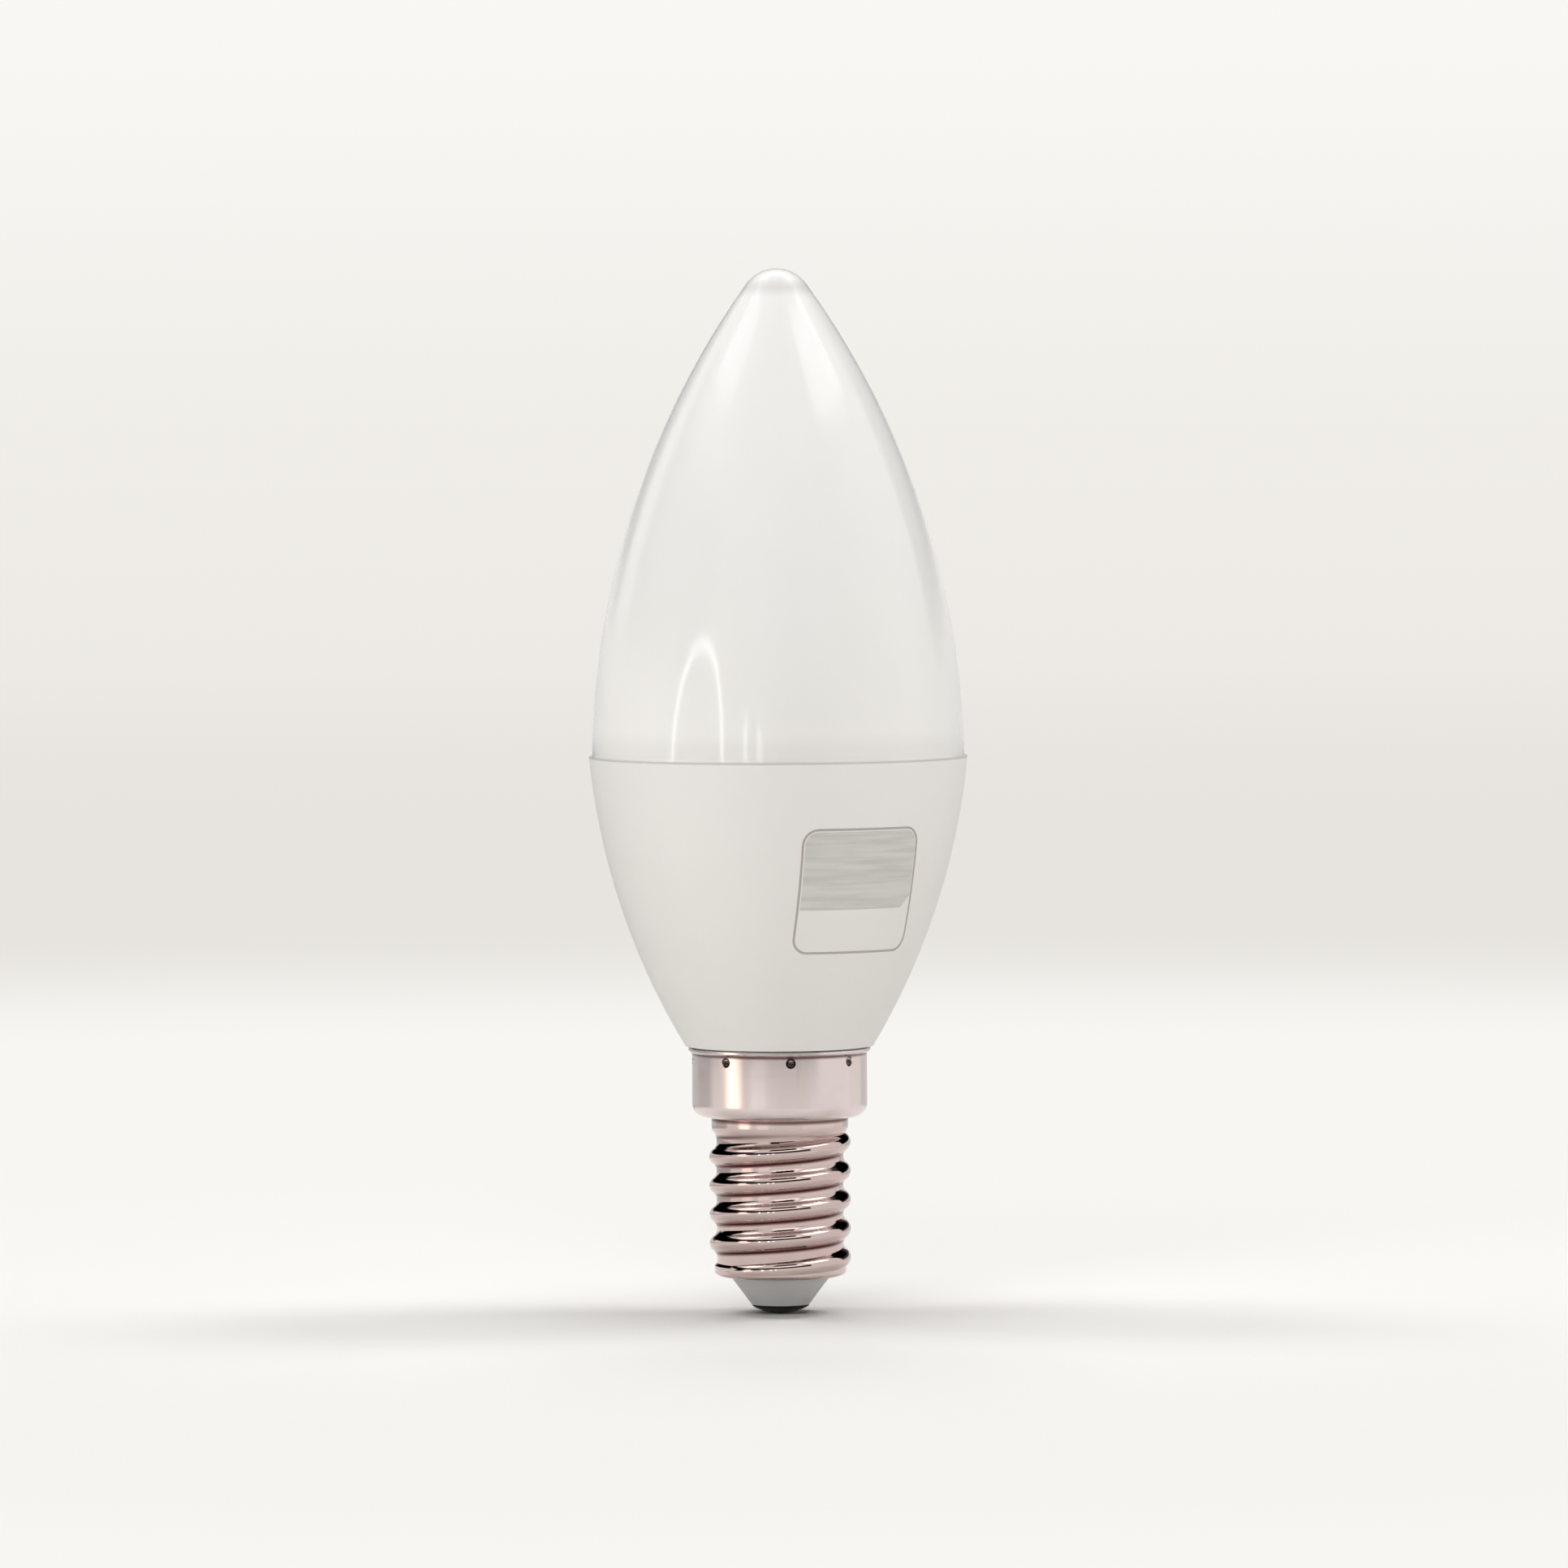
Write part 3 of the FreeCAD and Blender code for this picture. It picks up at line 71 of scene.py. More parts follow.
camera = bpy.data.objects.new("camera", bpy.data.cameras.new("camera"))
bpy.context.scene.collection.objects.link(camera)
camera.data.sensor_width = SENSOR
camera.data.lens = SENSOR * CAMERA_DISTANCE / FRAME_WIDTH
camera.data.clip_start = NEAREST_SEEN
camera.data.clip_end = FARTHEST_SEEN
camera.location = (SIDE_STEP, -CAMERA_DISTANCE, CAMERA_HEIGHT)
aim = Vector((SIDE_STEP, 0, LOOKS_AT)) - camera.location
turn = aim.to_track_quat("-Z", "Y").to_matrix().to_4x4() @ Matrix.Rotation(CAMERA_ROLL, 4, "Z")
camera.rotation_euler = turn.to_euler()
bpy.context.scene.camera = camera
bpy.context.scene.view_settings.view_transform = "Standard"
print("lens in mm:", round(camera.data.lens, 1))

# %% [markdown]
# ## Shader maths as Python
#
# Masks such as "near the seam" are arithmetic on a coordinate. Clicking Math nodes together hides
# that arithmetic, so a small class wraps a socket and gives it the usual operators: an expression
# then adds its own nodes. Everything else, such as a noise or a mix, comes from one method.

# %% Wire: a number on its way through the nodes


class Wire:
    """A socket that carries a number, with the operators that the masks need."""

    def __init__(self, finish, socket):
        self.finish = finish
        self.socket = socket

    def maths(self, operation, *others):
        values = [self, *others]
        return self.finish.node("ShaderNodeMath", {"operation": operation}, values)[0]

    def __add__(self, other):
        return self.maths("ADD", other)

    def __sub__(self, other):
        return self.maths("SUBTRACT", other)

    def __rsub__(self, other):
        return self.maths("MULTIPLY_ADD", -1.0, other)

    def __mul__(self, other):
        return self.maths("MULTIPLY", other)

    def __truediv__(self, other):
        return self.maths("DIVIDE", other)

    __radd__ = __add__
    __rmul__ = __mul__

    def root(self):
        return self.maths("SQRT")

    def ramp(self, low, high):
        """0 below low and 1 above high, with a smooth step between."""
        settings = {"interpolation_type": "SMOOTHSTEP"}
        values = {"Value": self, "From Min": low, "From Max": high}
        return self.finish.node("ShaderNodeMapRange", settings, values)[0]

    def band(self, middle, half_width):
        """1 at the middle, fading to 0 a half width away on both sides."""
        away = (self - middle).maths("ABSOLUTE")
        return 1 - away.ramp(0, half_width)


# %% [markdown]
# A finish is a material under construction. Its methods add the few kinds of nodes that a bulb and
# its studio need, and each returns what the next expression can use.

# %% Finish: a material and its nodes


class Finish:
    """A material under construction."""

    def __init__(self, name, look=None):
        self.material = bpy.data.materials.new(name)
        self.material.use_nodes = True
        self.tree = self.material.node_tree
        self.tree.nodes.clear()
        self.output = self.tree.nodes.new("ShaderNodeOutputMaterial")
        if look is not None:
            self.material.diffuse_color = (*look, 1)

    def node(self, kind, settings=None, values=()):
        """Adds a node: settings first, then a value or a link for each input, by name or number."""
        made = self.tree.nodes.new(kind)
        for name, setting in (settings or {}).items():
            setattr(made, name, setting)
        pairs = values.items() if isinstance(values, dict) else enumerate(values)
        for name, value in pairs:
            socket = made.inputs[name]
            if isinstance(value, Wire):
                self.tree.links.new(value.socket, socket)
            elif socket.type == "RGBA":
                socket.default_value = (*value, 1)
            else:
                socket.default_value = value
        return [Wire(self, output) for output in made.outputs if output.enabled]

    def place(self):
        """Object coordinates, and x, y and z apart."""
        outputs = self.node("ShaderNodeTexCoord")
        names = [wire.socket.name for wire in outputs]
        here = outputs[names.index("Object")]
        return here, *self.node("ShaderNodeSeparateXYZ", values=[here])

    def noise(self, scale, detail=2.0, stretch=(1, 1, 1)):
        """Noise between 0 and 1, with its features about one over scale metres wide."""
        here = self.place()[0]
        where = self.node("ShaderNodeMapping", values={"Vector": here, "Scale": stretch})[0]
        values = {"Vector": where, "Scale": scale, "Detail": detail}
        return self.node("ShaderNodeTexNoise", values=values)[0]

    def blend(self, share, first, second):
        """A colour between two colours, which the Mix node takes at its inputs 6 and 7."""
        values = {0: share, 6: first, 7: second}
        return self.node("ShaderNodeMix", {"data_type": "RGBA"}, values)[0]

    def bump(self, height, strength, distance):
        values = {"Strength": strength, "Distance": distance, "Height": height}
        return self.node("ShaderNodeBump", values=values)[0]

    def shine(self, colour, strength=1.0):
        """Light of one colour, whatever falls on it."""
        values = {"Color": colour, "Strength": strength}
        return self.node("ShaderNodeEmission", values=values)[0]

    def mixed(self, share, first, second):
        """A shader between two shaders."""
        return self.node("ShaderNodeMixShader", values=[share, first, second])[0]

    def ends_with(self, surface):
        """Gives the material its last shader."""
        self.tree.links.new(surface.socket, self.output.inputs["Surface"])
        return self.material

    def plastic(self, **values):
        """Ends the material with a Principled shader: the values name its inputs."""
        named = {name.replace("_", " ").title(): value for name, value in values.items()}
        if "Ior" in named:
            named["IOR"] = named.pop("Ior")
        return self.ends_with(self.node("ShaderNodeBsdfPrincipled", values=named)[0])


# %% [markdown]
# Levels from 0 to 255 are the handy way to write a colour that is judged beside a photograph, but
# a shader counts light, so the levels are converted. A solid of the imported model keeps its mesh
# and only changes its material.

# %% Colours, and how a solid gets its finish


def linear(*levels):
    """A colour written as a picture's levels from 0 to 255, with the sRGB curve taken off."""
    shares = [level / 255 for level in levels]
    return tuple(
        share / 12.92 if share <= 0.04045 else ((share + 0.055) / 1.055) ** 2.4
        for share in shares
    )


def dress(node, material):
    """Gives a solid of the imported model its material."""
    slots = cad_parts[node].data.materials
    slots.clear()
    slots.append(material)
    print(node, "has the finish", material.name)


print("level 128 is", round(linear(128)[0], 3), "for the shader")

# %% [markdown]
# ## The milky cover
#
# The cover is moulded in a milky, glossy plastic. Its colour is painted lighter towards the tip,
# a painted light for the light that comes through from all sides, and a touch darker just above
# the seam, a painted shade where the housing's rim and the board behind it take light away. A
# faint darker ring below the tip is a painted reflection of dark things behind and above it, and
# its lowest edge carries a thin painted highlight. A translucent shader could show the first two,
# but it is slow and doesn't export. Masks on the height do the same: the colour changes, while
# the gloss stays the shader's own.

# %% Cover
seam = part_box("housing")[1].z
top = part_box("diffuser")[1].z
SHADE_ABOVE_SEAM = 1.1 * MM
SHADE_REACH = 1.9 * MM
RING_BELOW_TIP = 1.8 * MM
RING_REACH = 1.1 * MM
EDGE_ABOVE_SEAM = 0.15 * MM
EDGE_REACH = 0.2 * MM

cover = Finish("milky_cover", linear(234, 230, 225))
z = cover.place()[3]
height = (z - seam) / (top - seam)
# Painted light: the cover's colour gets lighter towards the tip.
milk = cover.blend(height.ramp(0.1, 0.8), linear(246, 244, 240), linear(249, 247, 245))
# Painted shade: a band of the cover just above the seam is darker.
shade = z.band(seam + SHADE_ABOVE_SEAM, SHADE_REACH)
milk = cover.blend(shade * 0.4, milk, linear(228, 225, 221))
# Painted reflection: a darker ring below the tip, for the dark things it would mirror.
tip_dark_reflection = z.band(top - RING_BELOW_TIP, RING_REACH)
milk = cover.blend(tip_dark_reflection * 0.6, milk, linear(216, 212, 208))
# Painted highlight: a thin light line along the cover's lowest edge.
painted_edge_highlight = z.band(seam + EDGE_ABOVE_SEAM, EDGE_REACH)
milk = cover.blend(painted_edge_highlight * 0.7, milk, linear(253, 252, 249))
cloud = cover.noise(60, 3.0)
milk = cover.blend((cloud - 0.5) * 0.2 + 0.1, milk, linear(230, 227, 222))
ripple = cover.noise(90, 1.0)
dress("diffuser", cover.plastic(
    base_color=milk,
    roughness=0.09 + cover.noise(700, 2.0) * 0.03,
    ior=1.49,
    normal=cover.bump(ripple, 0.03, 0.3 * MM),
))
print("cover from", round(seam / MM, 2), "to", round(top / MM, 2))

# %% [markdown]
# ## The housing
#
# The housing is white, with the fine grain of a spark-eroded mould: matt, and without a highlight
# of its own. Its colour is painted lighter towards the cover, a painted light from above, and a
# thin darker line at its rim is a painted shadow of the joint. A small noise bump gives the
# grain, and a larger noise keeps the colour from being perfectly even.

# %% Housing
LIGHTER_FROM = 28 * MM
LIGHTEST_FROM = 56 * MM
JOINT_SHADOW_STARTS = 0.22 * MM
JOINT_SHADOW_FULL = 0.12 * MM

housing = Finish("moulded_housing", linear(229, 226, 222))
cloud = housing.noise(45, 3.0)
shell_white = housing.blend(cloud, linear(222, 219, 215), linear(227, 224, 220))
z = housing.place()[3]
# Painted light: the housing's colour gets lighter towards the cover.
painted_light_above = z.ramp(LIGHTER_FROM, LIGHTEST_FROM)
shell_white = housing.blend(painted_light_above, shell_white, linear(237, 234, 230))
# Painted shadow: a thin darker line along the housing's rim, under the joint.
joint_shadow = z.ramp(seam - JOINT_SHADOW_STARTS, seam - JOINT_SHADOW_FULL)
shell_white = housing.blend(joint_shadow * 0.8, shell_white, linear(196, 191, 186))
grain = housing.noise(5200, 2.0)
dress("housing", housing.plastic(
    base_color=shell_white,
    roughness=0.5 + grain * 0.12,
    ior=1.46,
    normal=housing.bump(grain, 0.25, 0.04 * MM),
))

# %% [markdown]
# ## The screw cap
#
# The cap is thin sheet, drawn and rolled: a skirt with crimp marks near its upper edge, a neck,
# and a thread whose ridge climbs by one pitch in each turn. Its finish changes with these places,
# so their heights and radii come first.

# %% Places on the cap
SKIRT_FOOT = 19.2 * MM
SKIRT_TURN = 1.0 * MM
SKIRT_RADIUS = 8.5 * MM
CRIMP_STARTS = 0.04 * MM
CRIMP_SUNK = 0.16 * MM
CRIMP_HEIGHT = 24.6 * MM
CRIMP_REACH = 0.6 * MM
UNDER_RIM = 25.42 * MM
UNDER_RIM_REACH = 0.3 * MM
UNDER_SKIRT = 19.0 * MM
UNDER_SKIRT_REACH = 0.4 * MM
NECK_RADIUS = 7.0 * MM
NECK_ENDS = 7.4 * MM
THREAD_PITCH = 2.822 * MM
FIRST_CREST = 5.42 * MM
THREAD_STARTS = 5.0 * MM
THREAD_FULL = 6.0 * MM
THREAD_FADES = 17.2 * MM
THREAD_ENDS = 18.0 * MM
FOOT_OF_RIDGE = 0.65
FOOT_REACH = 0.13
print("turns of the thread:", round((THREAD_ENDS - THREAD_STARTS) / THREAD_PITCH, 1))

# %% [markdown]
# Nearly all the looks of bright nickel with a rosy tint are reflections, so the shader is plain:
# fully metallic, with a low roughness. The rolled thread is shinier than the skirt, and its colour
# is a little darker, a painted shade for the darker things it reflects. Noise that is drawn out
# sideways gives it the fine rings of the rolling. Masks add painted shade under each ridge and in
# the crimp marks, and two painted shadows, one under the rim and one under the skirt. Since the
# ridge climbs one pitch in each turn, a height in pitches less the share of a turn says where
# between two ridges a place is.

# %% Cap
cap = Finish("rosy_nickel", linear(214, 196, 190))
_, x, y, z = cap.place()
rolled = 1 - z.ramp(SKIRT_FOOT - SKIRT_TURN, SKIRT_FOOT)
# Painted shade: the rolled thread's colour is darker than the skirt's.
plate = cap.blend(rolled, linear(222, 209, 207), linear(204, 184, 181))
tarnish = cap.noise(240, 4.0)
plate = cap.blend(tarnish.ramp(0.55, 0.85) * 0.25, plate, linear(188, 150, 138))

turn_share = y.maths("ARCTAN2", x) / math.tau
phase = ((z - FIRST_CREST) / THREAD_PITCH - turn_share).maths("FRACT")
# Painted shade: a dark red line under each ridge of the thread.
shade_under_ridge = phase.band(FOOT_OF_RIDGE, FOOT_REACH) * rolled
shade_under_ridge = shade_under_ridge * (1 - z.ramp(THREAD_FADES, THREAD_ENDS))
shade_under_ridge = shade_under_ridge * z.ramp(THREAD_STARTS, THREAD_FULL)
plate = cap.blend(shade_under_ridge, plate, linear(74, 20, 16))

radius = (x * x + y * y).root()
on_neck = 1 - radius.ramp(NECK_RADIUS, NECK_ENDS)
# Painted shadow: a dark line on the neck just under the skirt.
shadow_under_skirt = z.band(UNDER_SKIRT, UNDER_SKIRT_REACH) * on_neck
plate = cap.blend(shadow_under_skirt * 0.9, plate, linear(84, 40, 34))
# Painted shade: the crimp marks are painted dark inside.
sunk = (SKIRT_RADIUS - radius).ramp(CRIMP_STARTS, CRIMP_SUNK)
crimp_shade = sunk * z.band(CRIMP_HEIGHT, CRIMP_REACH).ramp(0, 0.3)
plate = cap.blend(crimp_shade * 0.9, plate, linear(34, 18, 16))
# Painted shadow: a dark line under the rim of the skirt.
shadow_under_rim = z.band(UNDER_RIM, UNDER_RIM_REACH)
plate = cap.blend(shadow_under_rim * 0.85, plate, linear(84, 44, 34))
rings = cap.noise(900, 1.0, stretch=(0.02, 0.02, 1))
dress("cap_shell", cap.plastic(
    base_color=plate,
    metallic=1.0,
    roughness=0.17 - rolled * 0.11 + tarnish * 0.03,
    normal=cap.bump(rings, 0.06, 0.05 * MM),
))

# %% [markdown]
# ## Insulator and contact
#
# The insulator is a grey moulding, a little glossy. The contact is the domed head of a metal nail.
# It stands in its own shadow, so its colour is painted nearly black, a painted shadow.

# %% Insulator and contact
insulator = Finish("grey_insulator", linear(186, 186, 183))
cloud = insulator.noise(260, 3.0)
dress("cap_insulator", insulator.plastic(
    base_color=insulator.blend(cloud, linear(176, 175, 173), linear(190, 189, 187)),
    roughness=0.35 + cloud * 0.1,
    normal=insulator.bump(insulator.noise(3000, 2.0), 0.1, 0.03 * MM),
))

# Painted shadow: the contact's colour is nearly black.
contact = Finish("dark_contact", linear(70, 66, 64))
scratch = contact.noise(1500, 4.0)
dress("centre_contact", contact.plastic(
    base_color=contact.blend(scratch, linear(16, 13, 13), linear(36, 30, 29)),
    metallic=1.0,
    roughness=0.3 + scratch * 0.2,
))

# %% [markdown]
# ## What is inside
#
# The cover hides the inner pieces, but they are real pieces and get real finishes, in case someone
# takes the bulb apart. They share one recipe: two tones mixed by noise, a roughness and a bump.

# %% Inner finishes


def inner_finish(name, dark, light, rough, metal, scale, stretch):
    """Two tones of a finish, mixed by noise that can be stretched into a grain."""
    finish = Finish(name, light)
    grain = finish.noise(scale, 3.0, stretch)
    return finish.plastic(
        base_color=finish.blend(grain, dark, light),
        metallic=metal,
        roughness=rough + grain * 0.1,
        normal=finish.bump(grain, 0.1, 0.05 * MM),
    )


EVEN = (1, 1, 1)
RINGS = (0.05, 0.05, 1)
for node, name, dark, light, rough, metal, scale, stretch in [
    ("heat_spreader", "pressed_aluminium", (184, 186, 188), (212, 213, 215), 0.32, 1.0, 900, RINGS),
    ("led_board", "white_lacquer", (232, 232, 228), (243, 243, 240), 0.35, 0.0, 500, EVEN),
    ("board_screws", "screw_steel", (150, 151, 153), (186, 187, 189), 0.3, 1.0, 2000, EVEN),
    ("board_terminal", "terminal_white", (226, 226, 221), (238, 238, 234), 0.35, 0.0, 900, EVEN),
    ("lead_positive", "red_insulation", (150, 26, 20), (176, 34, 26), 0.4, 0.0, 900, EVEN),
    ("lead_negative", "black_insulation", (24, 24, 25), (40, 40, 41), 0.4, 0.0, 900, EVEN),
    ("live_wire", "brown_insulation", (92, 56, 36), (112, 70, 46), 0.4, 0.0, 900, EVEN),
    ("neutral_wire", "blue_insulation", (36, 78, 146), (48, 96, 168), 0.4, 0.0, 900, EVEN),
    ("choke_core", "ferrite", (58, 58, 60), (78, 78, 80), 0.55, 0.0, 1200, EVEN),
    ("choke_winding", "copper_winding", (150, 82, 48), (206, 122, 76), 0.25, 1.0, 5000, RINGS),
    ("film_capacitor", "dark_red_epoxy", (128, 34, 24), (150, 44, 30), 0.25, 0.0, 500, EVEN),
    ("driver_board", "circuit_board", (30, 78, 44), (44, 98, 58), 0.35, 0.0, 220, EVEN),
]:
    dress(node, inner_finish(
        name, linear(*dark), linear(*light), rough, metal, scale, stretch
    ))

# %% [markdown]
# Some inner pieces carry two finishes in one solid: a package with its phosphor window, a can with
# a bare top, moulded chips with tinned legs, a resistor with bare leads. A mask on the place in
# the piece tells them apart, so that no piece has to be cut up for its paint.

# %% Masks for two finishes


def two_finishes(name, mask, base, other, metal=0.0, rough=0.35):
    """One finish where the mask is 0 and another, which may be metal, where it is 1."""
    finish = Finish(name, base)
    share = mask(finish)
    return finish.plastic(
        base_color=finish.blend(share, base, other),
        metallic=share * metal,
        roughness=rough + finish.noise(800, 2.0) * 0.1,
    )


def around(level):
    """0 in a thin layer at a height, and 1 everywhere else."""
    return lambda finish: 1 - finish.place()[3].band(level, 0.05 * MM).ramp(0, 0.2)


def above(level):
    """0 below a height and 1 above it."""
    return lambda finish: finish.place()[3].ramp(level - 0.01 * MM, level)


def beyond(node, margin):
    """1 above and below a moulded block, where its legs are."""
    low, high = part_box(node)
    middle, half = (low.z + high.z) / 2, (high.z - low.z) / 2
    return lambda finish: 1 - finish.place()[3].band(middle, half - margin).ramp(0, 0.01)


# %% Two-finish pieces
WINDOW_DEPTH = 0.1 * MM
BARE_TOP = 0.2 * MM
CHIP_LEGS = 1.05 * MM
RESISTOR_LEADS = 1.9 * MM

package_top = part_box("led_1")[1].z
phosphor = two_finishes(
    "led_package", around(package_top - WINDOW_DEPTH), linear(240, 214, 120), linear(238, 237, 232)
)
for number in range(1, 7):
    dress(f"led_{number}", phosphor)

can_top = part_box("smoothing_capacitor")[1].z
dress("smoothing_capacitor", two_finishes(
    "can_sleeve", above(can_top - BARE_TOP), linear(34, 35, 42), linear(200, 201, 203),
    metal=1.0, rough=0.22,
))
for node in ("driver_chip", "bridge_rectifier"):
    dress(node, two_finishes(
        f"{node}_epoxy", beyond(node, CHIP_LEGS), linear(38, 38, 39), linear(196, 197, 199),
        metal=1.0,
    ))
dress("fuse_resistor", two_finishes(
    "resistor_coating", beyond("fuse_resistor", RESISTOR_LEADS), linear(205, 188, 150),
    linear(190, 191, 193), metal=1.0,
))

# %% [markdown]
# ## The printed badge
#
# A badge is printed on the housing to the right of the front: a rounded outline, with a streaked
# grey field in its upper part whose lower right corner is cut. Print is a film of ink a few
# hundredths of a millimetre thick. It could be a mask in the housing's material, but a mask blurs
# when it is baked, and a thin mesh keeps a crisp edge. Each shape is first drawn flat, in
# millimetres, and then laid round the housing: the distance along the paper becomes an angle, and
# the distance up becomes a height.
#
# For that the housing's radius must be known at each height. Its side is one arc from foot to rim,
# and the arc's centre lies across from the middle of the straight line between them, at a distance
# that is worked out in lengths of that line. The housing's own mesh then shows how well the arc
# fits.

# %% The housing's side as an arc
FOOT_HEIGHT = 26.1 * MM
FOOT_RADIUS = 9.15 * MM
BOW = 67.3 * MM
WALL_DEPTH = 0.3 * MM

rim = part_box("housing")[1].x
across, up = rim - FOOT_RADIUS, seam - FOOT_HEIGHT
lift = math.sqrt(BOW ** 2 / (across ** 2 + up ** 2) - 0.25)
bow_centre = (
    (rim + FOOT_RADIUS) / 2 - up * lift,
    (seam + FOOT_HEIGHT) / 2 + across * lift,
)


def side_radius(z):
    """Radius of the housing's side at a height."""
    return bow_centre[0] + math.sqrt(BOW ** 2 - (z - bow_centre[1]) ** 2)


def off_the_arc(vertex):
    """How far outside the arc a point of the housing is."""
    return math.hypot(vertex.co.x, vertex.co.y) - side_radius(vertex.co.z)


points = [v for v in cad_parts["housing"].data.vertices if FOOT_HEIGHT < v.co.z < seam]
outer_side = [off_the_arc(v) for v in points if off_the_arc(v) > -WALL_DEPTH]
farthest = max(abs(distance) for distance in outer_side)
print("the housing's side leaves the arc by at most", round(farthest / MM, 4), "mm")

# %% [markdown]
# A flat shape starts as one square face, scaled to its size. A bevel rounds its corners, and
# planes slice it both ways, because one flat face can't bend.

# %% Drawing flat
STRIP_WIDTH = 0.6


def rounded_sheet(width, tall, radius, rise=0, square_foot=False):
    """A flat sheet in millimetres with rounded corners, or with only the upper two rounded."""
    sheet = bmesh.new()
    bmesh.ops.create_grid(sheet, x_segments=1, y_segments=1, size=0.5)
    bmesh.ops.scale(sheet, vec=(width, tall, 1), verts=sheet.verts)
    corners = [v for v in sheet.verts if not (square_foot and v.co.y < 0)]
    bmesh.ops.bevel(
        sheet, geom=corners, offset=radius, offset_type="OFFSET", affect="VERTICES",
        segments=8, profile=0.5, material=-1,
    )
    bmesh.ops.translate(sheet, vec=(0, rise, 0), verts=sheet.verts)
    return sheet


def sliced(sheet):
    """Cuts a sheet into strips both ways, so that it can bend round the housing."""
    for axis, normal in enumerate((Vector((1, 0, 0)), Vector((0, 1, 0)))):
        low = min(v.co[axis] for v in sheet.verts)
        high = max(v.co[axis] for v in sheet.verts)
        count = round((high - low) / STRIP_WIDTH)
        for number in range(1, count):
            place = normal * (low + (high - low) * number / count)
            geometry = sheet.verts[:] + sheet.edges[:] + sheet.faces[:]
            bmesh.ops.bisect_plane(sheet, geom=geometry, plane_co=place, plane_no=normal)


# %% [markdown]
# The badge turns a little to the right of the front and slants slightly. Its ink sinks a hundredth
# of a millimetre into the housing, so that no gap shows below it.

# %% Laying ink round the housing
BADGE_ANGLE = math.radians(29.95)
BADGE_HEIGHT = 41.8 * MM
BADGE_LEAN = 0.05
INK_OUTSIDE = 0.02 * MM
INK_THICKNESS = 0.03 * MM
LEVEL = Vector((1, 1, 0))


def laid_on_housing(sheet, name):
    """Slants a flat sheet by the lean, bends it round the housing and gives it its thickness."""
    for vertex in sheet.verts:
        z = BADGE_HEIGHT + vertex.co.y * MM
        turned = BADGE_ANGLE + (vertex.co.x - BADGE_LEAN * vertex.co.y) * MM / side_radius(z)
        outside = side_radius(z) + INK_OUTSIDE
        vertex.co = (outside * math.sin(turned), -outside * math.cos(turned), z)
    bmesh.ops.recalc_face_normals(sheet, faces=sheet.faces)
    outwards = sum(
        face.normal.dot(face.calc_center_median() * LEVEL) for face in sheet.faces
    )
    if outwards < 0:
        bmesh.ops.reverse_faces(sheet, faces=sheet.faces)
    bmesh.ops.solidify(sheet, geom=sheet.faces[:], thickness=INK_THICKNESS)
    return finished(sheet, name)


def finished(shape, name):
    """Makes an object of a bmesh, at the origin and riding on the bulb."""
    mesh = bpy.data.meshes.new(name)
    shape.to_mesh(mesh)
    shape.free()
    piece = bpy.data.objects.new(name, mesh)
    bpy.context.scene.collection.objects.link(piece)
    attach(piece, "root")
    print(name, len(mesh.polygons), "faces")
    return piece


# %% [markdown]
# The outline is a rounded sheet with a hole: its edge is inset by the width of the line, and the
# face that is left in the middle is deleted.

# %% Badge outline
BADGE_SIDE = 13.0
BADGE_TALL = 12.2
BADGE_CORNER = 1.6
LINE_WIDTH = 0.22

ink = Finish("warm_grey_ink", linear(176, 168, 163))
speck = ink.noise(4000, 2.0)
grey_line = ink.plastic(
    base_color=ink.blend(speck, linear(166, 158, 153), linear(184, 176, 171)),
    roughness=0.45 + speck * 0.1,
)

frame_line = rounded_sheet(BADGE_SIDE, BADGE_TALL, BADGE_CORNER)
bmesh.ops.inset_region(
    frame_line, faces=frame_line.faces[:], thickness=LINE_WIDTH, use_boundary=True,
    use_even_offset=True,
)
middle_face = max(frame_line.faces, key=lambda face: face.calc_area())
bmesh.ops.delete(frame_line, geom=[middle_face], context="FACES_ONLY")
sliced(frame_line)
outline = laid_on_housing(frame_line, "badge_outline")
outline.data.materials.append(grey_line)

# %% [markdown]
# The field keeps a narrow gap to the outline. Its upper corners follow the outline's, and its
# lower right corner is cut by a bevel of one segment. Noise that is drawn out sideways gives its
# ink the streaks.

# %% Badge field
FIELD_DEEP = 7.9
CUT_CORNER = 1.15
GAP = 0.12

streaked = Finish("streaked_grey_field", linear(190, 185, 181))
streaks = streaked.noise(2600, 3.0, stretch=(0.06, 0.06, 1))
streaked_grey = streaked.plastic(
    base_color=streaked.blend(streaks.ramp(0.3, 0.7), linear(196, 193, 188), linear(211, 208, 203)),
    roughness=0.4 + streaks * 0.15,
)

margin = LINE_WIDTH + GAP
field_sheet = rounded_sheet(
    BADGE_SIDE - 2 * margin, FIELD_DEEP - margin, BADGE_CORNER - margin,
    rise=(BADGE_TALL - FIELD_DEEP - margin) / 2, square_foot=True,
)
cut_corner = max(field_sheet.verts, key=lambda vertex: vertex.co.x - vertex.co.y)
bmesh.ops.bevel(
    field_sheet, geom=[cut_corner], offset=CUT_CORNER, offset_type="OFFSET", affect="VERTICES",
    segments=1, profile=0.5, material=-1,
)
sliced(field_sheet)
field = laid_on_housing(field_sheet, "badge_field")
field.data.materials.append(streaked_grey)

# %% [markdown]
# ## The studio
#
# The ground is a pale sheet that stays white up to half a metre behind the bulb, then turns
# slightly darker, and gets light again where it rises. A real sheet would be swept up behind the
# bulb only. Here it is a round room with a curved foot and a ceiling, because other views look at
# the bulb from every side: one profile, spun round the bulb.

# %% Room
FLOOR_EDGE = 0.54
ROOM = 2.6
COVE = 0.5
COVE_STEPS = 8
WALL_TOP = 3.2

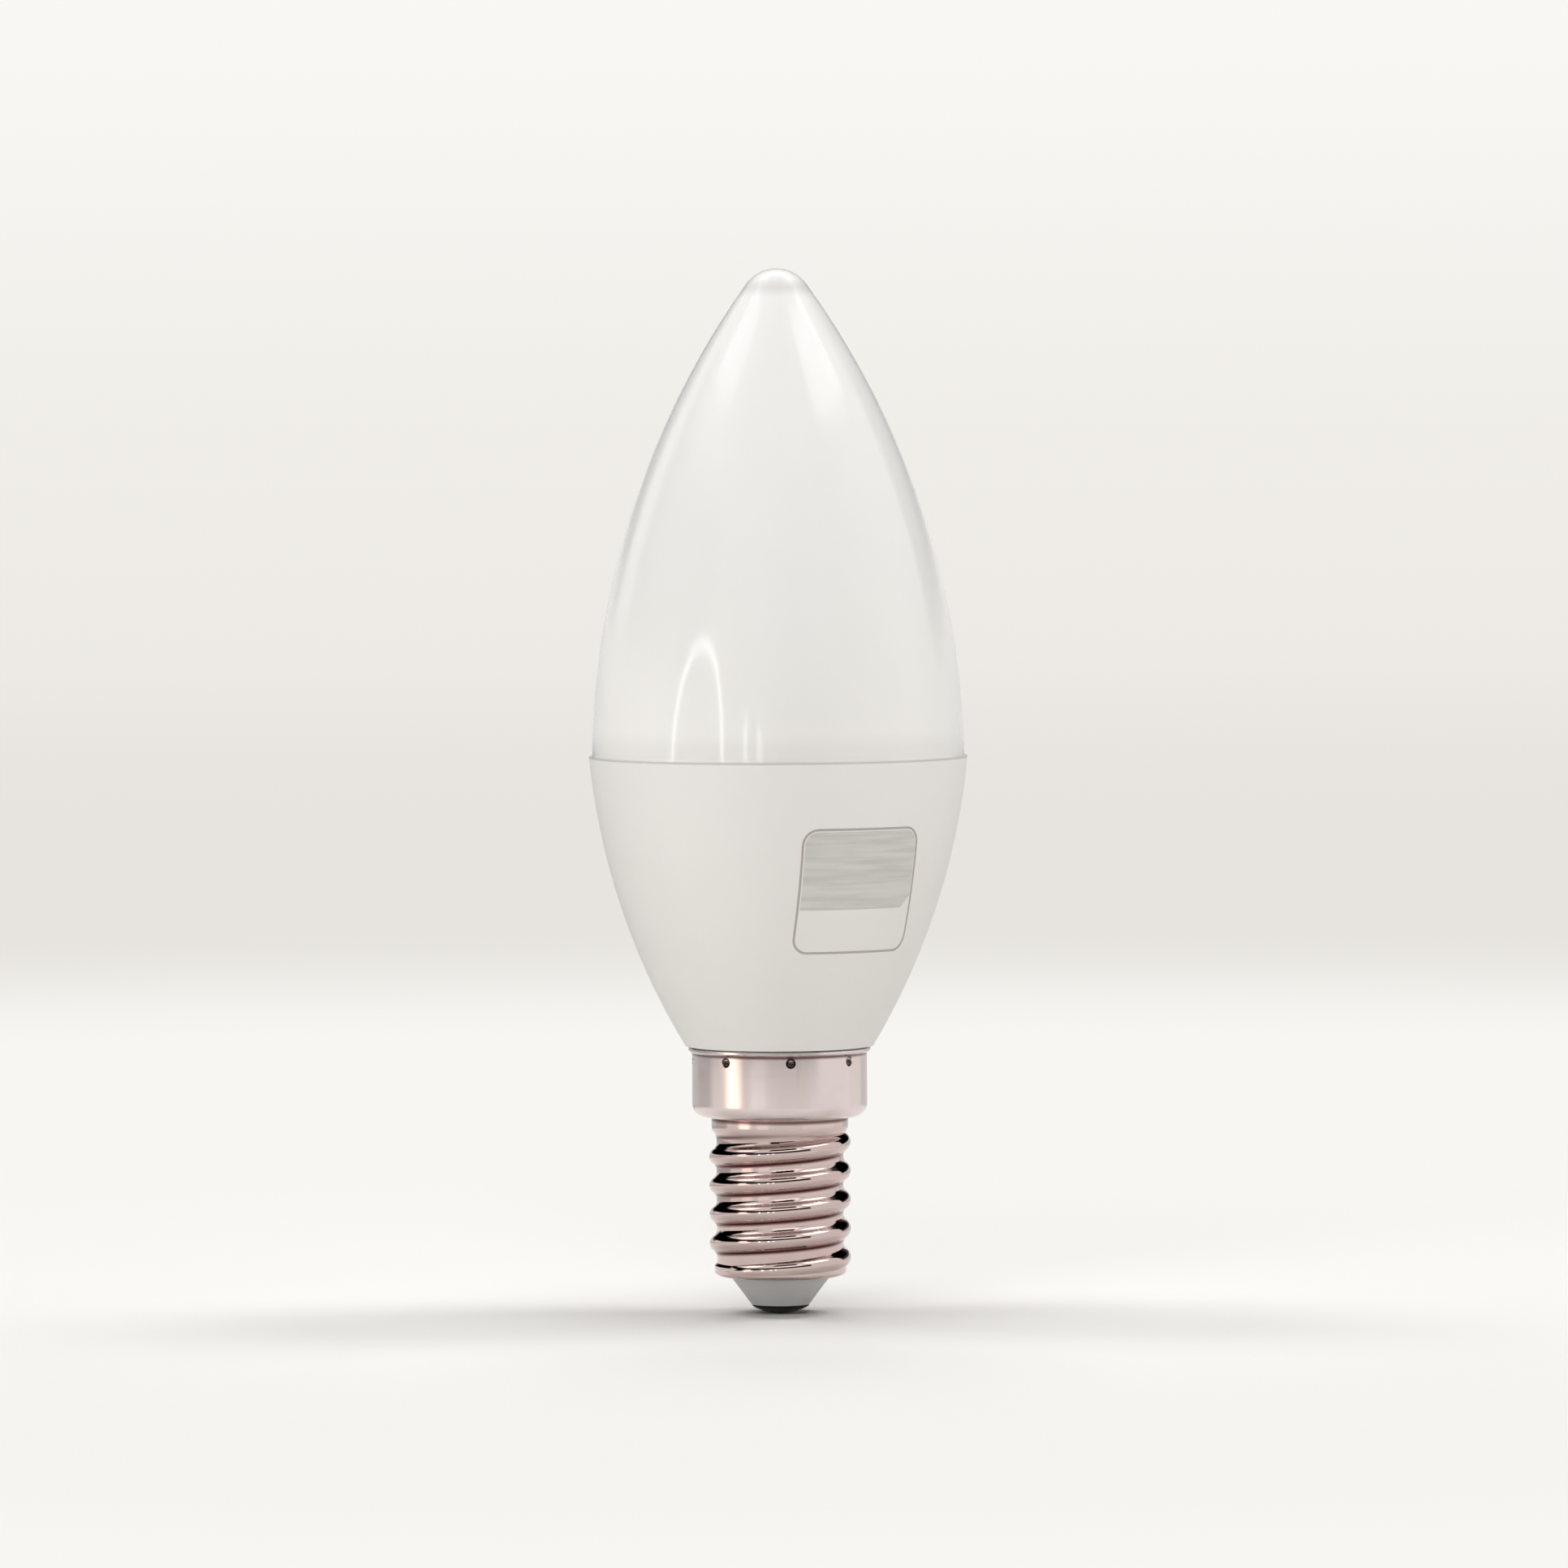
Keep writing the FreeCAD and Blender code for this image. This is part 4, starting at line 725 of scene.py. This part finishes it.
profile = [(0, 0), (FLOOR_EDGE, 0), (ROOM - COVE, 0)]
for step in range(1, COVE_STEPS + 1):
    angle = math.radians(90 * step / COVE_STEPS)
    profile.append((ROOM - COVE + COVE * math.sin(angle), COVE - COVE * math.cos(angle)))
profile += [(ROOM, WALL_TOP), (0, WALL_TOP)]

room = bmesh.new()
corners = [room.verts.new((across, 0, up)) for across, up in profile]
for first, second in zip(corners, corners[1:]):
    room.edges.new((first, second))
bmesh.ops.spin(
    room, geom=room.verts[:] + room.edges[:], axis=(0, 0, 1), cent=(0, 0, 0), angle=math.tau,
    steps=96, use_merge=True,
)
bmesh.ops.remove_doubles(room, verts=room.verts, dist=1e-5)
bmesh.ops.recalc_face_normals(room, faces=room.faces)
room_mesh = bpy.data.meshes.new("room")
room.to_mesh(room_mesh)
room.free()
room_mesh.shade_smooth()
room_piece = bpy.data.objects.new("room", room_mesh)
bpy.context.scene.collection.objects.link(room_piece)
print("room:", len(room_mesh.polygons), "faces")

# %% [markdown]
# The far floor, the walls and the ceiling glow with the sheet's colours where they are seen
# directly or in a reflection, and to all other light they aren't there. The nearer floor is paper
# that the lamps light, and it gives light back to the bulb. Lamps this near would leave it uneven,
# so farther than about 15 cm from the bulb it is seen as an even glow too. Only the paper round
# the bulb shows the lamps' light, and with it the bulb's shadows.

# %% Paper
LIT_FLOOR = 0.15
LIT_FADE = 0.08
FADE_BEFORE_EDGE = 0.16
FADE_BEHIND_EDGE = 0.12
DARKEST_UP_TO = 1.0
LIGHT_AGAIN_FROM = 2.4
WHITE_FROM_HEIGHT = 0.24
FRONT_FADE = 0.06

paper = Finish("paper_room")
_, x, y, z = paper.place()
distance = (x * x + y * y).root()
from_afar = distance.ramp(DARKEST_UP_TO, LIGHT_AGAIN_FROM)
low_part = paper.blend(from_afar, linear(231, 228, 223), linear(238, 235, 230))
backdrop = paper.blend(z.ramp(0, WHITE_FROM_HEIGHT), low_part, linear(250, 248, 244))
rays = {wire.socket.name: wire for wire in paper.node("ShaderNodeLightPath")}
seen = rays["Is Camera Ray"] + rays["Is Glossy Ray"] + rays["Is Transmission Ray"]
direct = seen.maths("MINIMUM", 1.0)
open_room = paper.node("ShaderNodeBsdfTransparent")[0]
wall = paper.mixed(direct, open_room, paper.shine(backdrop))

# Painted light: the paper behind the bulb is a touch lighter than in front of it.
front = (0 - y).ramp(0.0, FRONT_FADE)
painted_light_paper = paper.blend(front, linear(241, 239, 236), linear(238, 236, 233))
lit = paper.node("ShaderNodeBsdfDiffuse", values={"Color": painted_light_paper})[0]
evenness = direct * distance.ramp(LIT_FLOOR - LIT_FADE, LIT_FLOOR + LIT_FADE)
floor = paper.mixed(evenness, lit, paper.shine(linear(248, 246, 242)))
beyond_edge = distance.ramp(FLOOR_EDGE - FADE_BEFORE_EDGE, FLOOR_EDGE + FADE_BEHIND_EDGE)
room_mesh.materials.append(paper.ends_with(paper.mixed(beyond_edge, floor, wall)))
print("floor lit for real up to", LIT_FLOOR, "m and white up to", FLOOR_EDGE, "m")

# %% [markdown]
# ## Lamps
#
# Two soft lamps high on the left and right, a little behind the bulb, throw the two wide shadows
# on the ground, and two low ones light its sides. A large one in front lights the face of the
# bulb, one overhead lights the ground round it, and one behind lights the bulb's back. The world
# gives no light. A lamp's own reflection would have a hard edge on the glossy cover, so the
# lamps light the bulb but stay out of its reflections, which the cards below make.

# %% A lamp
world = bpy.data.worlds.new("dark_world")
bpy.context.scene.world = world
world.use_nodes = True
world.node_tree.nodes["Background"].inputs["Strength"].default_value = 0.0
BULB_MIDDLE = Vector((0, 0, 50 * MM))


def direction(azimuth, elevation):
    """Unit vector to a place in the room: azimuth 0 is the camera's side and -90 the left."""
    turned, raised = math.radians(azimuth), math.radians(elevation)
    flat = math.cos(raised)
    return Vector((math.sin(turned) * flat, -math.cos(turned) * flat, math.sin(raised)))


def lamp(name, azimuth, elevation, distance, size, power):
    """A soft square lamp that faces the bulb, given in degrees, metres and watts."""
    light = bpy.data.lights.new(name, "AREA")
    light.size = size
    light.energy = power
    holder = bpy.data.objects.new(name, light)
    bpy.context.scene.collection.objects.link(holder)
    holder.location = BULB_MIDDLE + direction(azimuth, elevation) * distance
    holder.rotation_euler = (-direction(azimuth, elevation)).to_track_quat("-Z", "Y").to_euler()
    holder.visible_camera = False
    holder.visible_glossy = False
    print(name, power, "W")


# %% All lamps
lamp("left_lamp", -84, 5, 1.6, 0.6, 3.8)
lamp("right_lamp", 92, 5, 1.6, 0.6, 6.9)
lamp("left_high_lamp", -110, 58, 1.3, 0.4, 3.7)
lamp("right_high_lamp", 110, 58, 1.3, 0.4, 4.6)
lamp("front_lamp", -14, 18, 2.0, 1.6, 20.4)
lamp("top_lamp", 0, 88, 1.6, 1.0, 10.9)
lamp("back_lamp", 180, 55, 1.6, 0.6, 4.5)

# %% [markdown]
# ## Cards
#
# Metal and gloss look like what they reflect, and an all-white room makes them flat. So cards
# stand round the bulb, each a patch of a sphere that is given by its angles. Only reflections see
# them. Their edges fade, as the edges of a lit screen do.

# %% A card
CARD_LOWEST = 1.5 * MM
CAP_MIDDLE = Vector((0, 0, 12 * MM))
WHITE = (1, 1, 1)
WARM = (1, 0.82, 0.72)


def card(
    name, azimuths, elevations, distance, level,
    fade=8, centre=BULB_MIDDLE, tilt=0, lean=0, tint=WHITE, opening=None,
):
    """A patch of a sphere, or of the ground below it, that is seen only in reflections.

    The patch glows at a level. Its edges fade over some degrees. Tilt raises its second side and
    lean moves its upper edge sideways, both in degrees. An opening is a mask of its own instead
    of the faded edges.
    """
    patch = bmesh.new()
    patch.loops.layers.uv.new("sheet")
    bmesh.ops.create_grid(patch, x_segments=32, y_segments=24, size=0.5, calc_uvs=True)
    for vertex in patch.verts:
        across, up = vertex.co.x + 0.5, vertex.co.y + 0.5
        azimuth = azimuths[0] + (azimuths[1] - azimuths[0]) * across + lean * (up - 0.5)
        elevation = elevations[0] + (elevations[1] - elevations[0]) * up + tilt * (across - 0.5)
        towards = direction(azimuth, elevation)
        reach = distance
        if centre.z + towards.z * reach < CARD_LOWEST:
            reach = (CARD_LOWEST - centre.z) / towards.z
        vertex.co = centre + towards * reach
    mesh = bpy.data.meshes.new(name)
    patch.to_mesh(mesh)
    patch.free()
    piece = bpy.data.objects.new(name, mesh)
    bpy.context.scene.collection.objects.link(piece)
    piece.visible_camera = False
    piece.visible_diffuse = False
    piece.visible_shadow = False
    mesh.materials.append(card_glow(name, azimuths, elevations, level, fade, tint, opening))
    print(name, "glows at", level)


def card_glow(name, azimuths, elevations, level, fade, tint, opening):
    """Light of one level inside the card's mask, and nothing outside it."""
    glow = Finish(name)
    outputs = glow.node("ShaderNodeTexCoord")
    corner = next(wire for wire in outputs if wire.socket.name == "UV")
    across, up, _ = glow.node("ShaderNodeSeparateXYZ", values=[corner])
    if opening is None:
        side_fade = fade / abs(azimuths[1] - azimuths[0])
        end_fade = fade / abs(elevations[1] - elevations[0])
        inside = across.ramp(0, side_fade) * (1 - across).ramp(0, side_fade)
        inside = inside * up.ramp(0, end_fade) * (1 - up).ramp(0, end_fade)
    else:
        inside = opening(across, up)
    clear = glow.node("ShaderNodeBsdfTransparent")[0]
    return glow.ends_with(glow.mixed(inside, clear, glow.shine(tint, level)))


# %% [markdown]
# Black cards close to the cap draw the dark places in the thread. They stay low, so that they
# don't darken the foot of the cover. Dark and grey cards behind the bulb draw the cover's edges,
# and a dark one overhead and a bright ring behind draw its tip.

# %% Dark cards and the ring
card("black_left", (-79, -162), (6.5, 38), 0.07, 0.0, fade=5, centre=CAP_MIDDLE)
card("black_right", (114, 160), (10, 41), 0.065, 0.0, fade=5, centre=CAP_MIDDLE)
card("dark_front", (-58, 50), (6.5, 28), 0.075, 0.03, fade=2.5, centre=CAP_MIDDLE)
card("dark_front_high", (-24, 28), (36, 56), 0.05, 0.0, fade=3, centre=CAP_MIDDLE)
card("dark_behind", (-136, -242), (2, 50), 1.9, 0.05)
card("grey_behind", (-130, -230), (-24, 6), 1.4, 0.7)
card("dark_above", (-180, 180), (70, 90), 1.8, 0.1, fade=3)
card("ring_behind", (-112, -258), (55, 69), 1.2, 2.4, fade=4)

# %% [markdown]
# Two bright windows high at the sides give the cover its two stripes. A soft glow in front and a
# dark shade on the left grade it from side to side. Just over the seam it mirrors the outline of
# an arch and two narrow cards.

# %% Cards for the cover
ARCH_LINE = 0.05


def arch(across, up):
    """A mask for the outline of an arch that stands on the card's lower edge."""
    side = (across - 0.5) * 2
    return (side * side + up * up).root().band(1 - ARCH_LINE, ARCH_LINE)


card("left_window", (-104, -60), (40, 62), 1.0, 2.4, fade=4, tilt=6, lean=8)
card("right_window", (48, 104), (40, 61), 1.0, 3.0, fade=4, tilt=-10, lean=-4)
card("front_glow", (-28, 44), (3, 62), 1.5, 1.6, fade=14)
card("left_shade", (-42, -126), (3, 40), 1.5, 0.0, fade=12)
card("arch_outline", (-68, -32.5), (-1.5, 16), 1.0, 14.0, lean=3, opening=arch)
card("left_lattice", (-21.5, -18.5), (-1.5, 6), 1.0, 7.0, fade=1)
card("right_lattice", (-13, -10), (-1.5, 5), 1.0, 6.0, fade=1)

# %% [markdown]
# The skirt mirrors what is level with it and a little below. A warm card near the cap draws its
# bright streak, and three cards that lie on the ground give its left, its middle and its right
# their tones.

# %% Cards for the skirt
card("skirt_streak", (-75, -46), (-8, 20), 0.08, 2.3, fade=9, centre=CAP_MIDDLE, tint=WARM)
card("skirt_left", (-96, -176), (-30, -1), 0.7, 0.55, fade=10)
card("skirt_middle", (-44, -14), (-30, -1), 0.65, 1.15, fade=8)
card("skirt_right", (32, 112), (-30, -1), 0.65, 1.0, fade=10)
